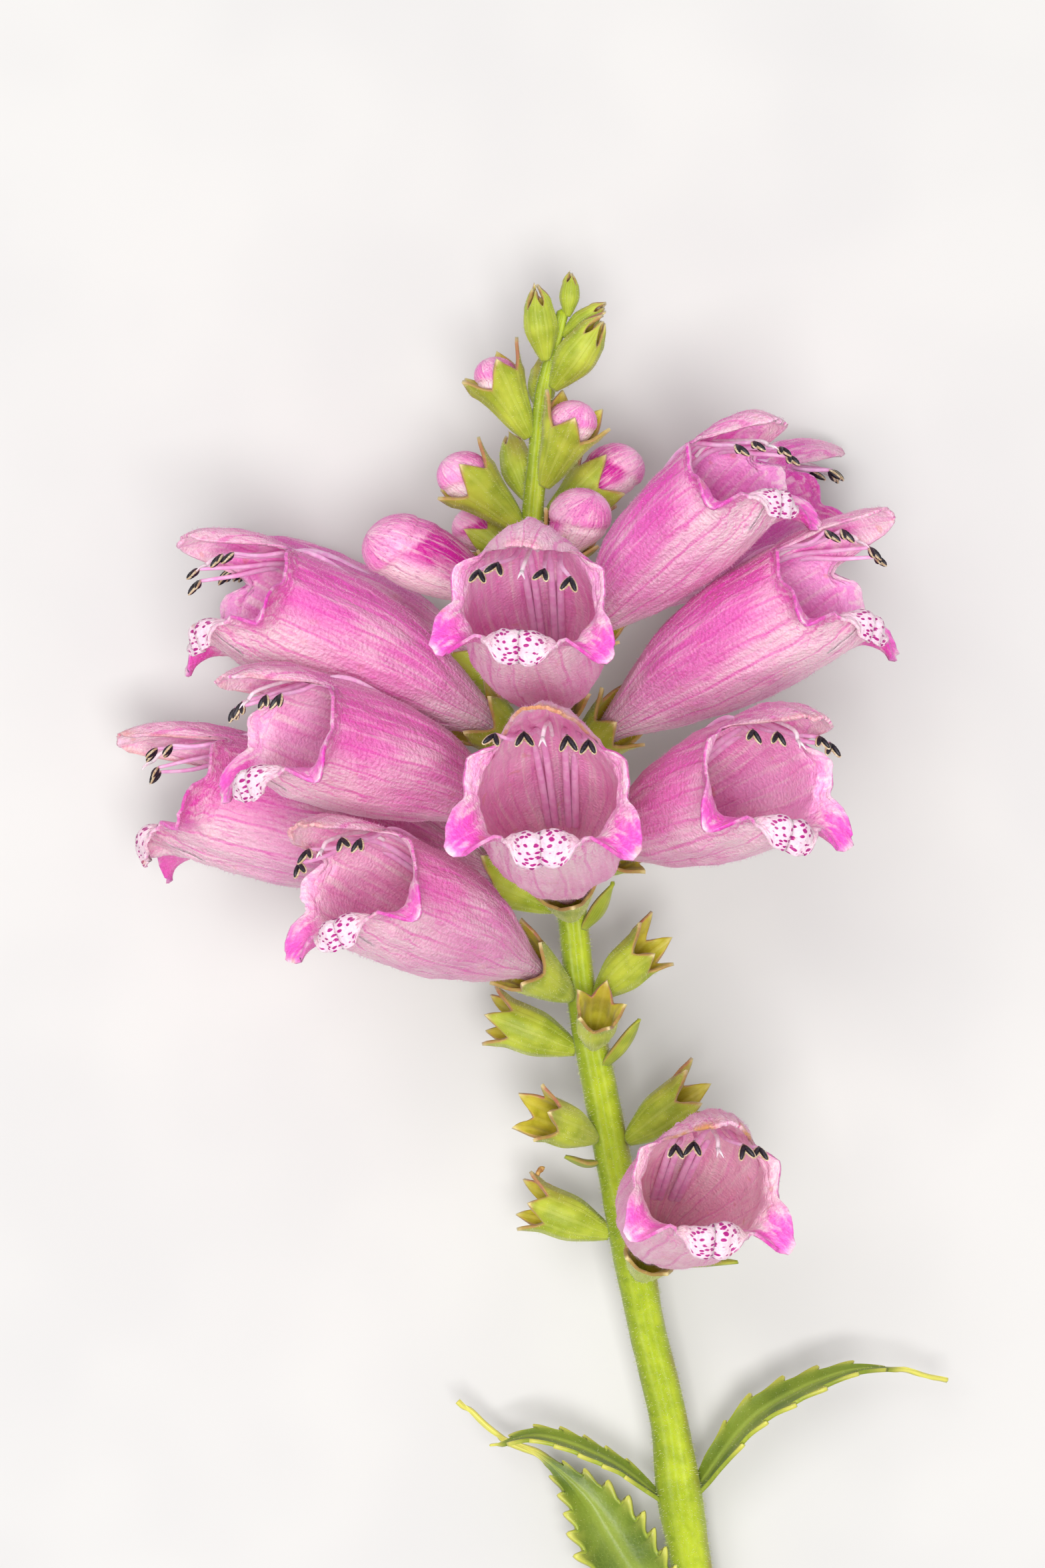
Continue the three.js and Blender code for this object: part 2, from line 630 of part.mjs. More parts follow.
function seatedCalyx(spec, solid) {
  return spec.rise > steepFrom ? seated(solid) : solid;
}

let stem = stemSolid(0);
for (const spec of Object.values(bracts)) stem = stem.add(bract(spec));
addNode("stem", stem, stemGreen);

for (const [name, spec] of Object.entries(openFlowers)) {
  addNode("corolla_" + name, corolla(spec), petalPink);
  const cupped = lifted(spec);
  addNode("calyx_" + name, seatedCalyx(cupped, calyx(cupped)), calyxGreen);
}
for (const [name, spec] of Object.entries(emptyCalyces)) {
  addNode("empty_calyx_" + name, seatedCalyx(spec, calyx(spec, emptyRim)), calyxGreen);
}
for (const [name, spec] of Object.entries(buds)) {
  if (spec.bud > 0) {
    addNode("bud_calyx_" + name, seatedCalyx(spec, calyx(spec, budRim)), calyxGreen);
    addNode("bud_" + name, budCorolla(spec), budPink);
  } else {
    addNode("bud_calyx_" + name, seatedCalyx(spec, shutCalyx(spec)), calyxGreen);
  }
}
const random = randomFrom(seed);
for (const [name, spec] of Object.entries(leaves)) {
  addNode("leaf_" + name, seated(leaf(spec, random)), leafGreen);
}

spike.position.set(-middleAt[0], -middleAt[1], 0);
spike.updateMatrixWorld(true);

export default spike;
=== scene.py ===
# Obedient plant: one cut spike of mauve two-lipped flowers on a square green stem, lying on its back, so that
# the front row of flowers looks up. Lengths below are millimetres, counted from a point in the flowered part:
# x to the right, y along the stem to its tip, z up from the surface.
import bisect
import math
import random
import bmesh
import bpy
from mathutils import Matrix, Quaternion, Vector, noise


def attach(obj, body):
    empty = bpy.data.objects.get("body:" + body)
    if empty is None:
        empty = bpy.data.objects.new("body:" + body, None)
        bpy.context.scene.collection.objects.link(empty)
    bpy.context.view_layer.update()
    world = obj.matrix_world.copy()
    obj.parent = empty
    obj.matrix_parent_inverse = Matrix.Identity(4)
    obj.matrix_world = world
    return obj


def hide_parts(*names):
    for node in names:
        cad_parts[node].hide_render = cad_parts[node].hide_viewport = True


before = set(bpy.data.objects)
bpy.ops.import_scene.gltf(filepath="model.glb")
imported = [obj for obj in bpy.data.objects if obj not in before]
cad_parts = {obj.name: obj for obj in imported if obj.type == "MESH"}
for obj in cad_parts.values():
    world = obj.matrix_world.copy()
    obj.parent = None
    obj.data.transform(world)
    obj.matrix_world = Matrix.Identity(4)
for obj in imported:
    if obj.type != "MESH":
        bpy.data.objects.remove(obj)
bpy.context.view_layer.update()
print("frame:", len(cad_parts), "nodes")

middleAt = Vector((3.035, -24.109, 0))  # where the frame's origin is, in these millimetres


def toScene(point):
    # from these millimetres to the frame; what would be under the surface is pressed flat on it
    return Vector((point.x - middleAt.x, point.y - middleAt.y, max(0, point.z))) / 1000


# Curves, grids and pieces

def smoothCurve(*stops):
    # a smooth curve through (place, value) pairs that never overshoots them
    places = [place for place, _ in stops]
    values = [value for _, value in stops]
    rises = [(v - u) / (q - p) for p, q, u, v in zip(places, places[1:], values, values[1:])]
    slopes = [rises[0]]
    for before, after in zip(rises, rises[1:]):
        slopes.append(2 * before * after / (before + after) if before * after > 0 else 0)
    slopes.append(rises[-1])

    def at(place):
        place = min(max(place, places[0]), places[-1])
        k = bisect.bisect_right(places, place, 1, len(places) - 1) - 1
        width = places[k + 1] - places[k]
        t = (place - places[k]) / width
        bent = t * (1 - t) ** 2 * slopes[k] - t * t * (1 - t) * slopes[k + 1]
        return values[k] + (values[k + 1] - values[k]) * t * t * (3 - 2 * t) + bent * width

    return at


tiny = 1e-6


def fade(low, high, value):
    # 0 below low, 1 above high and smooth between
    t = min(max((value - low) / (high - low), 0), 1)
    return t * t * (3 - 2 * t)


def hump(middle, halfWidth, value):
    return 1 - fade(0, halfWidth, abs(value - middle))


def pathPoint(points, t):
    # a point on the round curve through a list of points, for t from 0 to 1
    place = min(max(t, 0), 1) * (len(points) - 1)
    k = min(int(place), len(points) - 2)
    u = place - k
    p1, p2 = points[k], points[k + 1]
    p0 = points[k - 1] if k > 0 else p1 * 2 - p2
    p3 = points[k + 2] if k + 2 < len(points) else p2 * 2 - p1
    bend = (p0 * 2 - p1 * 5 + p2 * 4 - p3) * u * u + (p1 * 3 - p0 - p2 * 3 + p3) * u ** 3
    return (p1 * 2 + (p2 - p0) * u + bend) / 2


def pathAhead(points, t):
    return (pathPoint(points, t + 0.01) - pathPoint(points, t - 0.01)).normalized()


def mapGrid(bm, across, along, shape, masks=()):
    # adds a grid whose every point is placed by shape(x, y), with x and y from -1 to 1; shape also gives a
    # value for each mask, which the materials read
    uvLayer = bm.loops.layers.uv.verify()
    for mask in masks:
        bm.verts.layers.float.new(mask)
    layers = [bm.verts.layers.float[mask] for mask in masks]
    made = bmesh.ops.create_grid(bm, x_segments=across, y_segments=along, size=1)["verts"]
    faces = {face for vert in made for face in vert.link_faces}
    for face in faces:
        face.smooth = True
        for loop in face.loops:
            loop[uvLayer].uv = ((loop.vert.co.x + 1) / 2, (loop.vert.co.y + 1) / 2)
    for vert in made:
        point, values = shape(vert.co.x, vert.co.y)
        vert.co = toScene(point)
        for layer, value in zip(layers, values):
            vert[layer] = value
    return faces


seamGap = 2e-6  # metres: points nearer than this are one point


def faceOut(bm):
    # joins the seam, then turns a cup's or pod's faces to look away from its middle
    bmesh.ops.remove_doubles(bm, verts=bm.verts, dist=seamGap)
    bm.normal_update()
    middle = sum((vert.co for vert in bm.verts), Vector()) / len(bm.verts)
    swell = sum((f.calc_center_median() - middle).dot(f.normal) * f.calc_area() for f in bm.faces)
    if swell < 0:
        bmesh.ops.reverse_faces(bm, faces=bm.faces)
    bm.normal_update()


def faceTo(bm, way):
    # turns a blade's faces to look the given way
    bm.normal_update()
    if sum(face.normal.dot(way) for face in bm.faces) < 0:
        bmesh.ops.reverse_faces(bm, faces=bm.faces)
        bm.normal_update()


def closeUp(bm):
    # joins the seams and poles of shut bodies and turns their faces outwards
    bmesh.ops.remove_doubles(bm, verts=bm.verts, dist=seamGap)
    bmesh.ops.recalc_face_normals(bm, faces=bm.faces)


def addTube(bm, points, width, sides, steps, material):
    # a round stalk along a path; width is a curve from 0 to 1 of its half thickness in mm
    ref = (points[-1] - points[0]).orthogonal()

    def shape(x, y):
        t = (y + 1) / 2
        ahead = pathAhead(points, t)
        aside = ahead.cross(ref).normalized()
        turn = math.pi * x
        out = aside * math.cos(turn) + ahead.cross(aside) * math.sin(turn)
        return pathPoint(points, t) + out * width(t), ()

    for face in mapGrid(bm, sides, steps, shape):
        face.material_index = material


def addEgg(bm, middle, ends, sizes, sides, material):
    # an egg with its own three directions and half sizes
    def shape(x, y):
        turn, lift = math.pi * x, math.pi / 2 * y
        spots = (math.sin(lift), math.cos(lift) * math.cos(turn), math.cos(lift) * math.sin(turn))
        return middle + sum((end * size * spot for end, size, spot in zip(ends, sizes, spots)), Vector()), ()

    for face in mapGrid(bm, sides, sides // 2 + 1, shape):
        face.material_index = material


def makePiece(bm, name, materials, replaced=(), wall=0):
    # a finished piece of the mesh; wall is the thickness in mm that an open shape gets on its inner side
    mesh = bpy.data.meshes.new(name)
    bm.to_mesh(mesh)
    bm.free()
    for material in materials:
        mesh.materials.append(material)
    piece = bpy.data.objects.new(name, mesh)
    bpy.context.scene.collection.objects.link(piece)
    if wall:
        thick = piece.modifiers.new("wall", "SOLIDIFY")
        thick.thickness = wall / 1000
        thick.offset = -1
        thick.material_offset = len(materials) - 1
    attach(piece, "root")
    if replaced:
        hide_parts(*replaced)


fuzzOf = {"petal_fuzz": bmesh.new(), "green_fuzz": bmesh.new()}  # hairs are gathered by kind


def addFuzz(kind, bm, look, seed):
    # short hairs: each is a three-sided spike raised from a shrunk triangle of the surface
    chance = random.Random(seed)
    bmesh.ops.triangulate(bm, faces=bm.faces)
    spare = [f for f in bm.faces if chance.random() > f.calc_area() * 1e6 * look["perSquareMm"]]
    bmesh.ops.delete(bm, geom=spare, context="FACES")
    bmesh.ops.split_edges(bm, edges=bm.edges)
    bm.normal_update()
    for face in bm.faces:
        shares = [chance.random() + 0.05 for _ in face.verts]
        root = sum((vert.co * share for vert, share in zip(face.verts, shares)), Vector()) / sum(shares)
        middle = face.calc_center_median()
        for vert in face.verts:
            vert.co = root + (vert.co - middle).normalized() * look["halfWidth"] / 1000
    for vert in bmesh.ops.poke(bm, faces=bm.faces)["verts"]:
        length = look["length"] * chance.uniform(0.55, 1.25) / 1000
        lean = Vector([chance.uniform(-1, 1) for _ in range(3)]) * look["lean"]
        vert.co += (vert.normal + lean).normalized() * length
        vert.co.z = max(0, vert.co.z)
    scratch = bpy.data.meshes.new("scratch")
    bm.to_mesh(scratch)
    bm.free()
    fuzzOf[kind].from_mesh(scratch)
    bpy.data.meshes.remove(scratch)


# Materials

def fromHex(code):
    # an sRGB hex colour as linear red, green, blue and alpha
    parts = [int(code[k:k + 2], 16) / 255 for k in (1, 3, 5)]
    return [p / 12.92 if p <= 0.04045 else ((p + 0.055) / 1.055) ** 2.4 for p in parts] + [1]


def addNode(tree, kind, output, inputs={}, settings={}):
    # adds a node, fills or links its inputs and gives the output that is wanted
    node = tree.nodes.new("ShaderNode" + kind)
    for key, value in settings.items():
        setattr(node, key, value)
    for socket, value in inputs.items():
        if isinstance(value, bpy.types.NodeSocket):
            tree.links.new(value, node.inputs[socket])
        else:
            node.inputs[socket].default_value = value
    return node.outputs[output]


def startMaterial(name, shaderValues):
    # a new material, its nodes, its shader, and the coordinates that its patterns read
    material = bpy.data.materials.new(name)
    material.use_nodes = True
    tree = material.node_tree
    shader = tree.nodes["Principled BSDF"]
    for socket, value in shaderValues.items():
        shader.inputs[socket].default_value = value
    return material, tree, shader, addNode(tree, "TexCoord", "Object"), addNode(tree, "TexCoord", "UV")


def perMetre(grainMm):
    # patches of this size, counted along each axis of the Object coordinates, which are metres
    return [1000 / grainMm] * 3


def perSpan(spanMm, grainMm):
    # patches of this width and length, counted round and along a piece whose own UV map is this large
    return [round(span / grain) for span, grain in zip(spanMm, grainMm)] + [1]


def cover(tree, *factors):
    # how far a coat covers, as the product of its factors; a factor is a number, a pattern, or a pattern with
    # the range over which it fades in and, where that isn't from 0 to 1, what it fades from and to
    product = None
    for factor in factors:
        if isinstance(factor, tuple):
            value, low, high, start, end = (factor + (0, 1))[:5]
            inputs = {"Value": value, "From Min": low, "From Max": high, "To Min": start, "To Max": end}
            factor = addNode(tree, "MapRange", "Result", inputs, {"interpolation_type": "SMOOTHSTEP"})
        if product is None:
            product = factor
        else:
            product = addNode(tree, "Math", "Value", {0: product, 1: factor}, {"operation": "MULTIPLY"})
    return product


def weighted(tree, *parts):
    # the sum of some patterns, each with its weight
    total = 0
    for pattern, weight in parts:
        inputs = {0: pattern, 1: weight, 2: total}
        total = addNode(tree, "Math", "Value", inputs, {"operation": "MULTIPLY_ADD"})
    return total


def mottle(tree, vector, counts, detail=2):
    # soft patches, so many of them along each axis
    spread = addNode(tree, "Mapping", "Vector", {"Vector": vector, "Scale": counts})
    inputs = {"Vector": spread, "Scale": 1, "Detail": detail, "Roughness": 0.55}
    return addNode(tree, "TexNoise", "Fac", inputs)


def cellsOf(tree, vector, counts, feature):
    # distances in a pattern of cells, from their middles or from the edges between them
    spread = addNode(tree, "Mapping", "Vector", {"Vector": vector, "Scale": counts})
    return addNode(tree, "TexVoronoi", "Distance", {"Vector": spread, "Scale": 1}, {"feature": feature})


def veinLines(tree, uv, count, wander, thin):
    # thin lines that run along a piece, count of them round it, where thin near 1 is a fine line
    bandsPerScale = 2 * math.pi / 20
    inputs = {"Vector": uv, "Scale": count * bandsPerScale, "Distortion": wander, "Detail": 2,
              "Detail Scale": 1.2}
    wave = addNode(tree, "TexWave", "Fac", inputs, {"bands_direction": "X"})
    return cover(tree, (wave, thin, 1))


def netLines(tree, uv, counts, width):
    # the edges between cells, as a fine net
    return cover(tree, (cellsOf(tree, uv, counts, "DISTANCE_TO_EDGE"), 0, width, 1, 0))


def paint(tree, shader, firstCode, coats):
    # lays coats over a first colour; each is its colour and the factors of its cover
    colour = fromHex(firstCode)
    for code, *factors in coats:
        inputs = {0: cover(tree, *factors), 6: colour, 7: fromHex(code)}
        colour = addNode(tree, "Mix", 2, inputs, {"data_type": "RGBA"})
    tree.links.new(colour, shader.inputs["Base Color"])


def carve(tree, shader, depthMm, strength, *parts):
    # relief from patterns with their weights
    inputs = {"Height": weighted(tree, *parts), "Distance": depthMm / 1000, "Strength": strength}
    tree.links.new(addNode(tree, "Bump", "Normal", inputs), shader.inputs["Normal"])


# wet, thin plant tissue, which light enters; its softness is what keeps a petal from looking like plastic
livingTissue = {"Roughness": 0.5, "IOR": 1.4, "Subsurface Weight": 0.4, "Subsurface Scale": 0.001,
                "Subsurface Radius": (1.0, 0.6, 0.75), "Sheen Weight": 0.12, "Sheen Roughness": 0.5}


def petalMaterial(name, deepMask, paleMask, look):
    # living petal: a soft, satin skin of tiny puffed cells over branching veins, translucent at its edges
    tissue = dict(livingTissue, **{"Subsurface Weight": look["glow"]})
    material, tree, shader, solid, uv = startMaterial(name, tissue)
    deepZone, paleZone, aged, hot, lip, rim = [
        addNode(tree, "Attribute", "Fac", {}, {"attribute_name": mask})
        for mask in (deepMask, paleMask, "aged", "hot", "spots", "rim")]
    cloud = mottle(tree, solid, perMetre(look["cloudMm"]))
    cells = mottle(tree, solid, perMetre(look["cellMm"]), 1)
    stains = mottle(tree, solid, perMetre(look["stainMm"]), 1)
    blotches = mottle(tree, uv, perSpan(look["spanMm"], look["blotchMm"]))
    streaks = mottle(tree, uv, perSpan(look["spanMm"], look["streakMm"]))
    dashes = mottle(tree, uv, perSpan(look["spanMm"], look["dashMm"]), 1)
    trunks = veinLines(tree, uv, look["veins"], look["wander"], 0.94)
    twigs = veinLines(tree, uv, look["veins"] * 2.3, look["wander"] * 2.5, 0.92)
    net = netLines(tree, uv, perSpan(look["spanMm"], look["netMm"]), 0.1)
    clouded = cover(tree, (cloud, 0.35, 0.65, -0.15, 0.2))
    coats = [
        (look["deep"], weighted(tree, (deepZone, 1), (clouded, 1))),
        (look["pale"], paleZone, (streaks, 0.3, 0.6, 0.7, 1)),
        (look["aged"], aged, 0.65),
        (look["hot"], hot, (cloud, 0.3, 0.55, 0.55, 1)),
        (look["pale"], (streaks, 0.48, 0.7, 0, 0.55)),
        (look["pale"], (blotches, 0.5, 0.7, 0, look["blotchShare"])),
        (look["vein"], (dashes, 0.54, 0.7, 0, look["dashShare"]), (cloud, 0.3, 0.6)),
        (look["vein"], trunks, (blotches, 0.3, 0.6, 0.45, 1), look["veinShare"]),
        (look["vein"], twigs, (cloud, 0.42, 0.6, 0, look["veinShare"] * 0.7)),
        (look["vein"], net, look["netShare"]),
    ]
    if look.get("spots"):
        dots = cellsOf(tree, uv, perSpan(look["spanMm"], look["spotMm"]), "F1")
        coats += [(look["lip"], lip, 0.8), (look["spots"], lip, (dots, 0.32, 0.44, 1, 0))]
    stained = cover(tree, (stains, 0.68, 0.76, 0, look["stainShare"]))
    browned = cover(tree, rim, (cloud, 0.35, 0.55))
    coats.append((look["stain"], weighted(tree, (stained, 1), (browned, 1))))
    paint(tree, shader, look["mid"], coats)
    carve(tree, shader, 0.4, look["relief"], (streaks, 0.3), (dashes, 0.3), (cells, 0.5), (trunks, -0.06))
    return material


def greenMaterial(name, look):
    # living green skin: faintly ribbed and waxy, purplish where the sun has flushed its edges; on the stem
    # this flush coat is painted shade on its side faces instead
    material, tree, shader, solid, uv = startMaterial(name, dict(livingTissue, Roughness=look["roughness"]))
    flushAndShade, tip = [
        addNode(tree, "Attribute", "Fac", {}, {"attribute_name": mask})
        for mask in ("flushAndShade", "tip")]
    cloud = mottle(tree, solid, perMetre(look["cloudMm"]))
    grain = mottle(tree, solid, perMetre(0.35), 1)
    ribs = veinLines(tree, uv, look["ribs"], 0.6, 0.72)
    net = netLines(tree, uv, perSpan(look["spanMm"], look["netMm"]), 0.12)
    paint(tree, shader, look["dark"], [
        (look["light"], (cloud, 0.3, 0.7)),
        (look["rib"], ribs, look["ribShare"]),
        (look["rib"], net, look["netShare"]),
        (look["flushAndShade"], flushAndShade, (grain, 0.3, 0.7, 0.75, 1)),
        (look["tip"], tip),
    ])
    carve(tree, shader, 0.1, look["relief"], (ribs, 0.6), (grain, 0.4))
    return material


def plainMaterial(name, light, dark, grainMm, shaderValues):
    # one colour with a faint grain of a second
    material, tree, shader, solid, _ = startMaterial(name, shaderValues)
    grain = mottle(tree, solid, perMetre(grainMm))
    paint(tree, shader, dark, [(light, (grain, 0.35, 0.65))])
    carve(tree, shader, 0.05, 0.3, (grain, 1))
    return material


# spanMm is the size of a piece's own UV map, round it and along it
petalOuter = petalMaterial("petal outside", "deepOut", "paleOut", {
    "mid": "#df66b4", "deep": "#d03aa4", "hot": "#da2ca8", "pale": "#eec8d0", "vein": "#d63aa6",
    "aged": "#d99ab2", "stain": "#c8884f", "stainMm": 1.4, "stainShare": 0.12,
    "spanMm": (35, 30), "blotchMm": (3.9, 6), "streakMm": (0.58, 6), "dashMm": (0.41, 1.15),
    "netMm": (0.565, 0.83), "cloudMm": 4, "cellMm": 0.28, "veins": 17, "wander": 2.2, "veinShare": 0.55,
    "dashShare": 0.4, "netShare": 0.1, "blotchShare": 0.52, "relief": 1, "glow": 0.65,
})
# inside: paler than the outside, and its colours lightened further as painted light that stands in for light
# shining through the thin walls into the tube
petalInner = petalMaterial("petal inside", "deepIn", "paleIn", {
    "mid": "#fca4dc", "deep": "#f26cc4", "hot": "#ee48bc", "pale": "#ffe6e2", "vein": "#dc5cb6",
    "aged": "#fad0cc", "stain": "#cc9050", "stainMm": 1.3, "stainShare": 0.3,
    "lip": "#e8cbd8", "spots": "#a5107c", "spotMm": (0.417, 0.577),
    "spanMm": (35, 30), "blotchMm": (3.9, 6), "streakMm": (0.58, 6), "dashMm": (0.41, 1.15),
    "netMm": (0.565, 0.83), "cloudMm": 3, "cellMm": 0.28, "veins": 15, "wander": 3, "veinShare": 0.3,
    "dashShare": 0.22, "netShare": 0.09, "blotchShare": 0.4, "relief": 0.7, "glow": 0.5,
})
budPetal = petalMaterial("bud petal", "deepOut", "paleOut", {
    "mid": "#f08fcc", "deep": "#cc0f96", "hot": "#cc0f96", "pale": "#f6dcde", "vein": "#93207c",
    "aged": "#e3acbd", "stain": "#c8884f", "stainMm": 1.4, "stainShare": 0,
    "spanMm": (18, 10), "blotchMm": (2, 2), "streakMm": (0.3, 2), "dashMm": (0.212, 0.385),
    "netMm": (0.29, 0.278), "cloudMm": 2.5, "cellMm": 0.22, "veins": 12, "wander": 1.6, "veinShare": 0.25,
    "dashShare": 0.45, "netShare": 0.05, "blotchShare": 0.3, "relief": 0.5, "glow": 0.4,
})
calyxOuter = greenMaterial("calyx outside", {
    "dark": "#8f9e20", "light": "#b6c03c", "rib": "#c6cc62", "flushAndShade": "#a56a50", "tip": "#e4d59a",
    "spanMm": (15, 8), "netMm": (0.3, 0.333), "cloudMm": 2.2, "ribs": 10, "ribShare": 0.25, "netShare": 0.12,
    "roughness": 0.55, "relief": 0.5,
})
calyxInner = greenMaterial("calyx inside", {
    "dark": "#a29c16", "light": "#c4bc34", "rib": "#d2c85a", "flushAndShade": "#a98a34", "tip": "#e4d59a",
    "spanMm": (15, 8), "netMm": (0.375, 0.4), "cloudMm": 1.6, "ribs": 10, "ribShare": 0.3, "netShare": 0.18,
    "roughness": 0.5, "relief": 0.4,
})
# on the stem the flush coat is painted shade, a darker green on the faces turned to the sides
stemSkin = greenMaterial("stem skin", {
    "dark": "#98aa12", "light": "#b3c222", "rib": "#cad25c", "flushAndShade": "#768a14", "tip": "#94782e",
    "spanMm": (9.4, 128), "netMm": (0.157, 0.305), "cloudMm": 2.2, "ribs": 4, "ribShare": 0.12,
    "netShare": 0.16, "roughness": 0.45, "relief": 0.5,
})
leafUpper = greenMaterial("leaf upper face", {
    "dark": "#586e1c", "light": "#788b28", "rib": "#9fb04a", "flushAndShade": "#b4c03a", "tip": "#d6d060",
    "spanMm": (6, 34), "netMm": (0.43, 0.486), "cloudMm": 4, "ribs": 1, "ribShare": 0.5, "netShare": 0.12,
    "roughness": 0.42, "relief": 0.7,
})
leafUnder = greenMaterial("leaf under face", {
    "dark": "#7c8f34", "light": "#9aaa50", "rib": "#b9c470", "flushAndShade": "#a9b43c", "tip": "#c8c060",
    "spanMm": (6, 34), "netMm": (0.43, 0.486), "cloudMm": 4, "ribs": 1, "ribShare": 0.4, "netShare": 0.1,
    "roughness": 0.55, "relief": 0.6,
})
# anthers are dry, dull black pouches with cream seams, on moist pink threads; the style is white and moist
antherBlack = plainMaterial("anther lobe", "#2c2430", "#0e0a12", 0.2, {"Roughness": 0.45, "IOR": 1.45})
antherCream = plainMaterial("anther margin", "#f0d3b0", "#c99f74", 0.25, dict(livingTissue, Roughness=0.55))
# the threads' pink is lightened as painted light, to offset the shade they lie in inside the tube
filamentPink = plainMaterial("filament", "#f9c0e4", "#f0a2d6", 0.8, livingTissue)
styleWhite = plainMaterial("style", "#fbeef4", "#f0cfe0", 0.6, livingTissue)
# a withered style is papery and brown, and hairs are dry and pale, which rims the plant with light
styleBrown = plainMaterial("withered style", "#c9a05a", "#94632c", 0.5, {"Roughness": 0.7})
petalHair = plainMaterial("petal hair", "#f6c6e2", "#eda6d0", 1, {"Roughness": 0.6, "IOR": 1.4})
greenHair = plainMaterial("green hair", "#e6e8b4", "#cfd68c", 1, {"Roughness": 0.6, "IOR": 1.4})
print("materials made")


# Where things grow

stemPath = [
    (19.6, -89.5, 1.52, 1.75), (17.2, -79.0, 3.4, 1.95), (14.6, -67.6, 5.2, 1.7), (13.3, -60.2, 6.4, 1.95),
    (12.4, -54.0, 7.4, 1.6), (10.3, -45.0, 8.8, 1.55), (9.3, -39.4, 9.8, 1.75), (7.6, -31.4, 11.0, 1.5),
    (6.7, -26.6, 11.8, 1.45), (5.5, -20.6, 12.7, 1.4), (4.7, -16.0, 13.3, 1.25), (4.2, -11.4, 14.0, 1.25),
    (3.5, -5.8, 14.8, 1.15), (2.7, 0.2, 15.6, 1.1), (2.0, 5.6, 16.4, 1.05), (1.5, 11.0, 17.1, 1.0),
    (1.1, 16.3, 17.7, 0.95), (0.8, 21.2, 18.2, 0.9), (1.2, 26.2, 18.7, 0.85), (1.7, 31.7, 19.1, 0.75),
    (2.5, 35.5, 19.4, 0.6), (3.4, 39.0, 19.7, 0.5),
]  # centre line from the cut end to the tip, with its half thickness
stemX, stemZ, stemHalf = [smoothCurve(*[(row[1], row[k]) for row in stemPath]) for k in (0, 2, 3)]
stemQuarter = smoothCurve((0, 0.92), (33, 1.1), (57, 1.1), (90, 0.92))  # the square section, face to face


def axesFor(spec):
    # forward, up (towards the tip of the stem) and side of what leaves the stem; heading is seen from the tip
    # of the stem: 0 right, 90 down to the floor, 180 left, 270 up
    heading, rise = math.radians(spec["heading"]), math.radians(spec["rise"])
    flat = math.cos(rise)
    forward = Vector((flat * math.cos(heading), math.sin(rise), -flat * math.sin(heading)))
    tip = Vector((0, 1, 0))
    up = (tip - forward * tip.dot(forward)).normalized()
    up.rotate(Quaternion(forward, -math.radians(spec.get("roll", 0))))
    return forward, up, forward.cross(up)


def placed(axes, origin, ahead, high, aside):
    return origin + axes[0] * ahead + axes[1] * high + axes[2] * aside


def footOf(spec):
    # the axes of what grows from the stem, and where it leaves the stem's skin
    axes = axesFor(spec)
    y = spec["foot"]
    out = Vector((axes[0].x, 0, axes[0].z)).normalized()
    share = stemQuarter(math.degrees(math.atan2(out.z, out.x)) % 90)
    return axes, Vector((stemX(y), y, stemZ(y))) + out * stemHalf(y) * share


# Stem: square, grooved down each face, with swollen joints

stemLook = {"around": 56, "along": 300, "groove": 0.05, "rough": 0.03, "hairs": {
    "perSquareMm": 7, "halfWidth": 0.018, "length": 0.3, "lean": 0.35}}


def stemShape(x, y):
    height = stemPath[0][1] + (stemPath[-1][1] - stemPath[0][1]) * (y + 1) / 2
    turn = math.pi * x
    quarter = math.degrees(turn) % 90
    ahead = Vector((stemX(height + 0.5) - stemX(height - 0.5), 1, stemZ(height + 0.5) - stemZ(height - 0.5)))
    ahead.normalize()
    side = (Vector((1, 0, 0)) - ahead * ahead.x).normalized()
    up = side.cross(ahead)
    groove = stemLook["groove"] * (hump(0, 22, quarter) + hump(90, 22, quarter))
    rough = stemLook["rough"] * noise.noise(Vector((math.cos(turn) * 2, height * 0.7, math.sin(turn) * 2)))
    capped = 1 if abs(y) < 0.9999 else 0
    half = stemHalf(height) * (stemQuarter(quarter) + rough - groove) * capped
    out = side * math.cos(turn) + up * math.sin(turn)
    # painted shade darkens the face to the left and, less, the corner to the right; the corner to the right
    # is also browner
    dark = 0.75 * fade(0.1, 0.6, -math.cos(turn)) + 0.3 * fade(0.5, 0.9, math.cos(turn))
    dark += 0.25 * hump(0.35, 0.25, noise.noise(Vector((height * 1.3, turn * 2, 5))))
    brown = 0.65 * fade(0.55, 0.95, math.cos(turn))
    brown *= fade(-0.3, 0.5, noise.noise(Vector((height * 0.5, turn, 2))))
    return Vector((stemX(height), height, stemZ(height))) + out * half, (min(1, dark), brown)


def makeStem():
    bm = bmesh.new()
    mapGrid(bm, stemLook["around"], stemLook["along"], stemShape, ("flushAndShade", "tip"))
    faceOut(bm)
    fuzz = bm.copy()
    makePiece(bm, "stem_skin", [stemSkin], ["stem"])
    addFuzz("green_fuzz", fuzz, stemLook["hairs"], 3)


# Blades: leaves and bracts

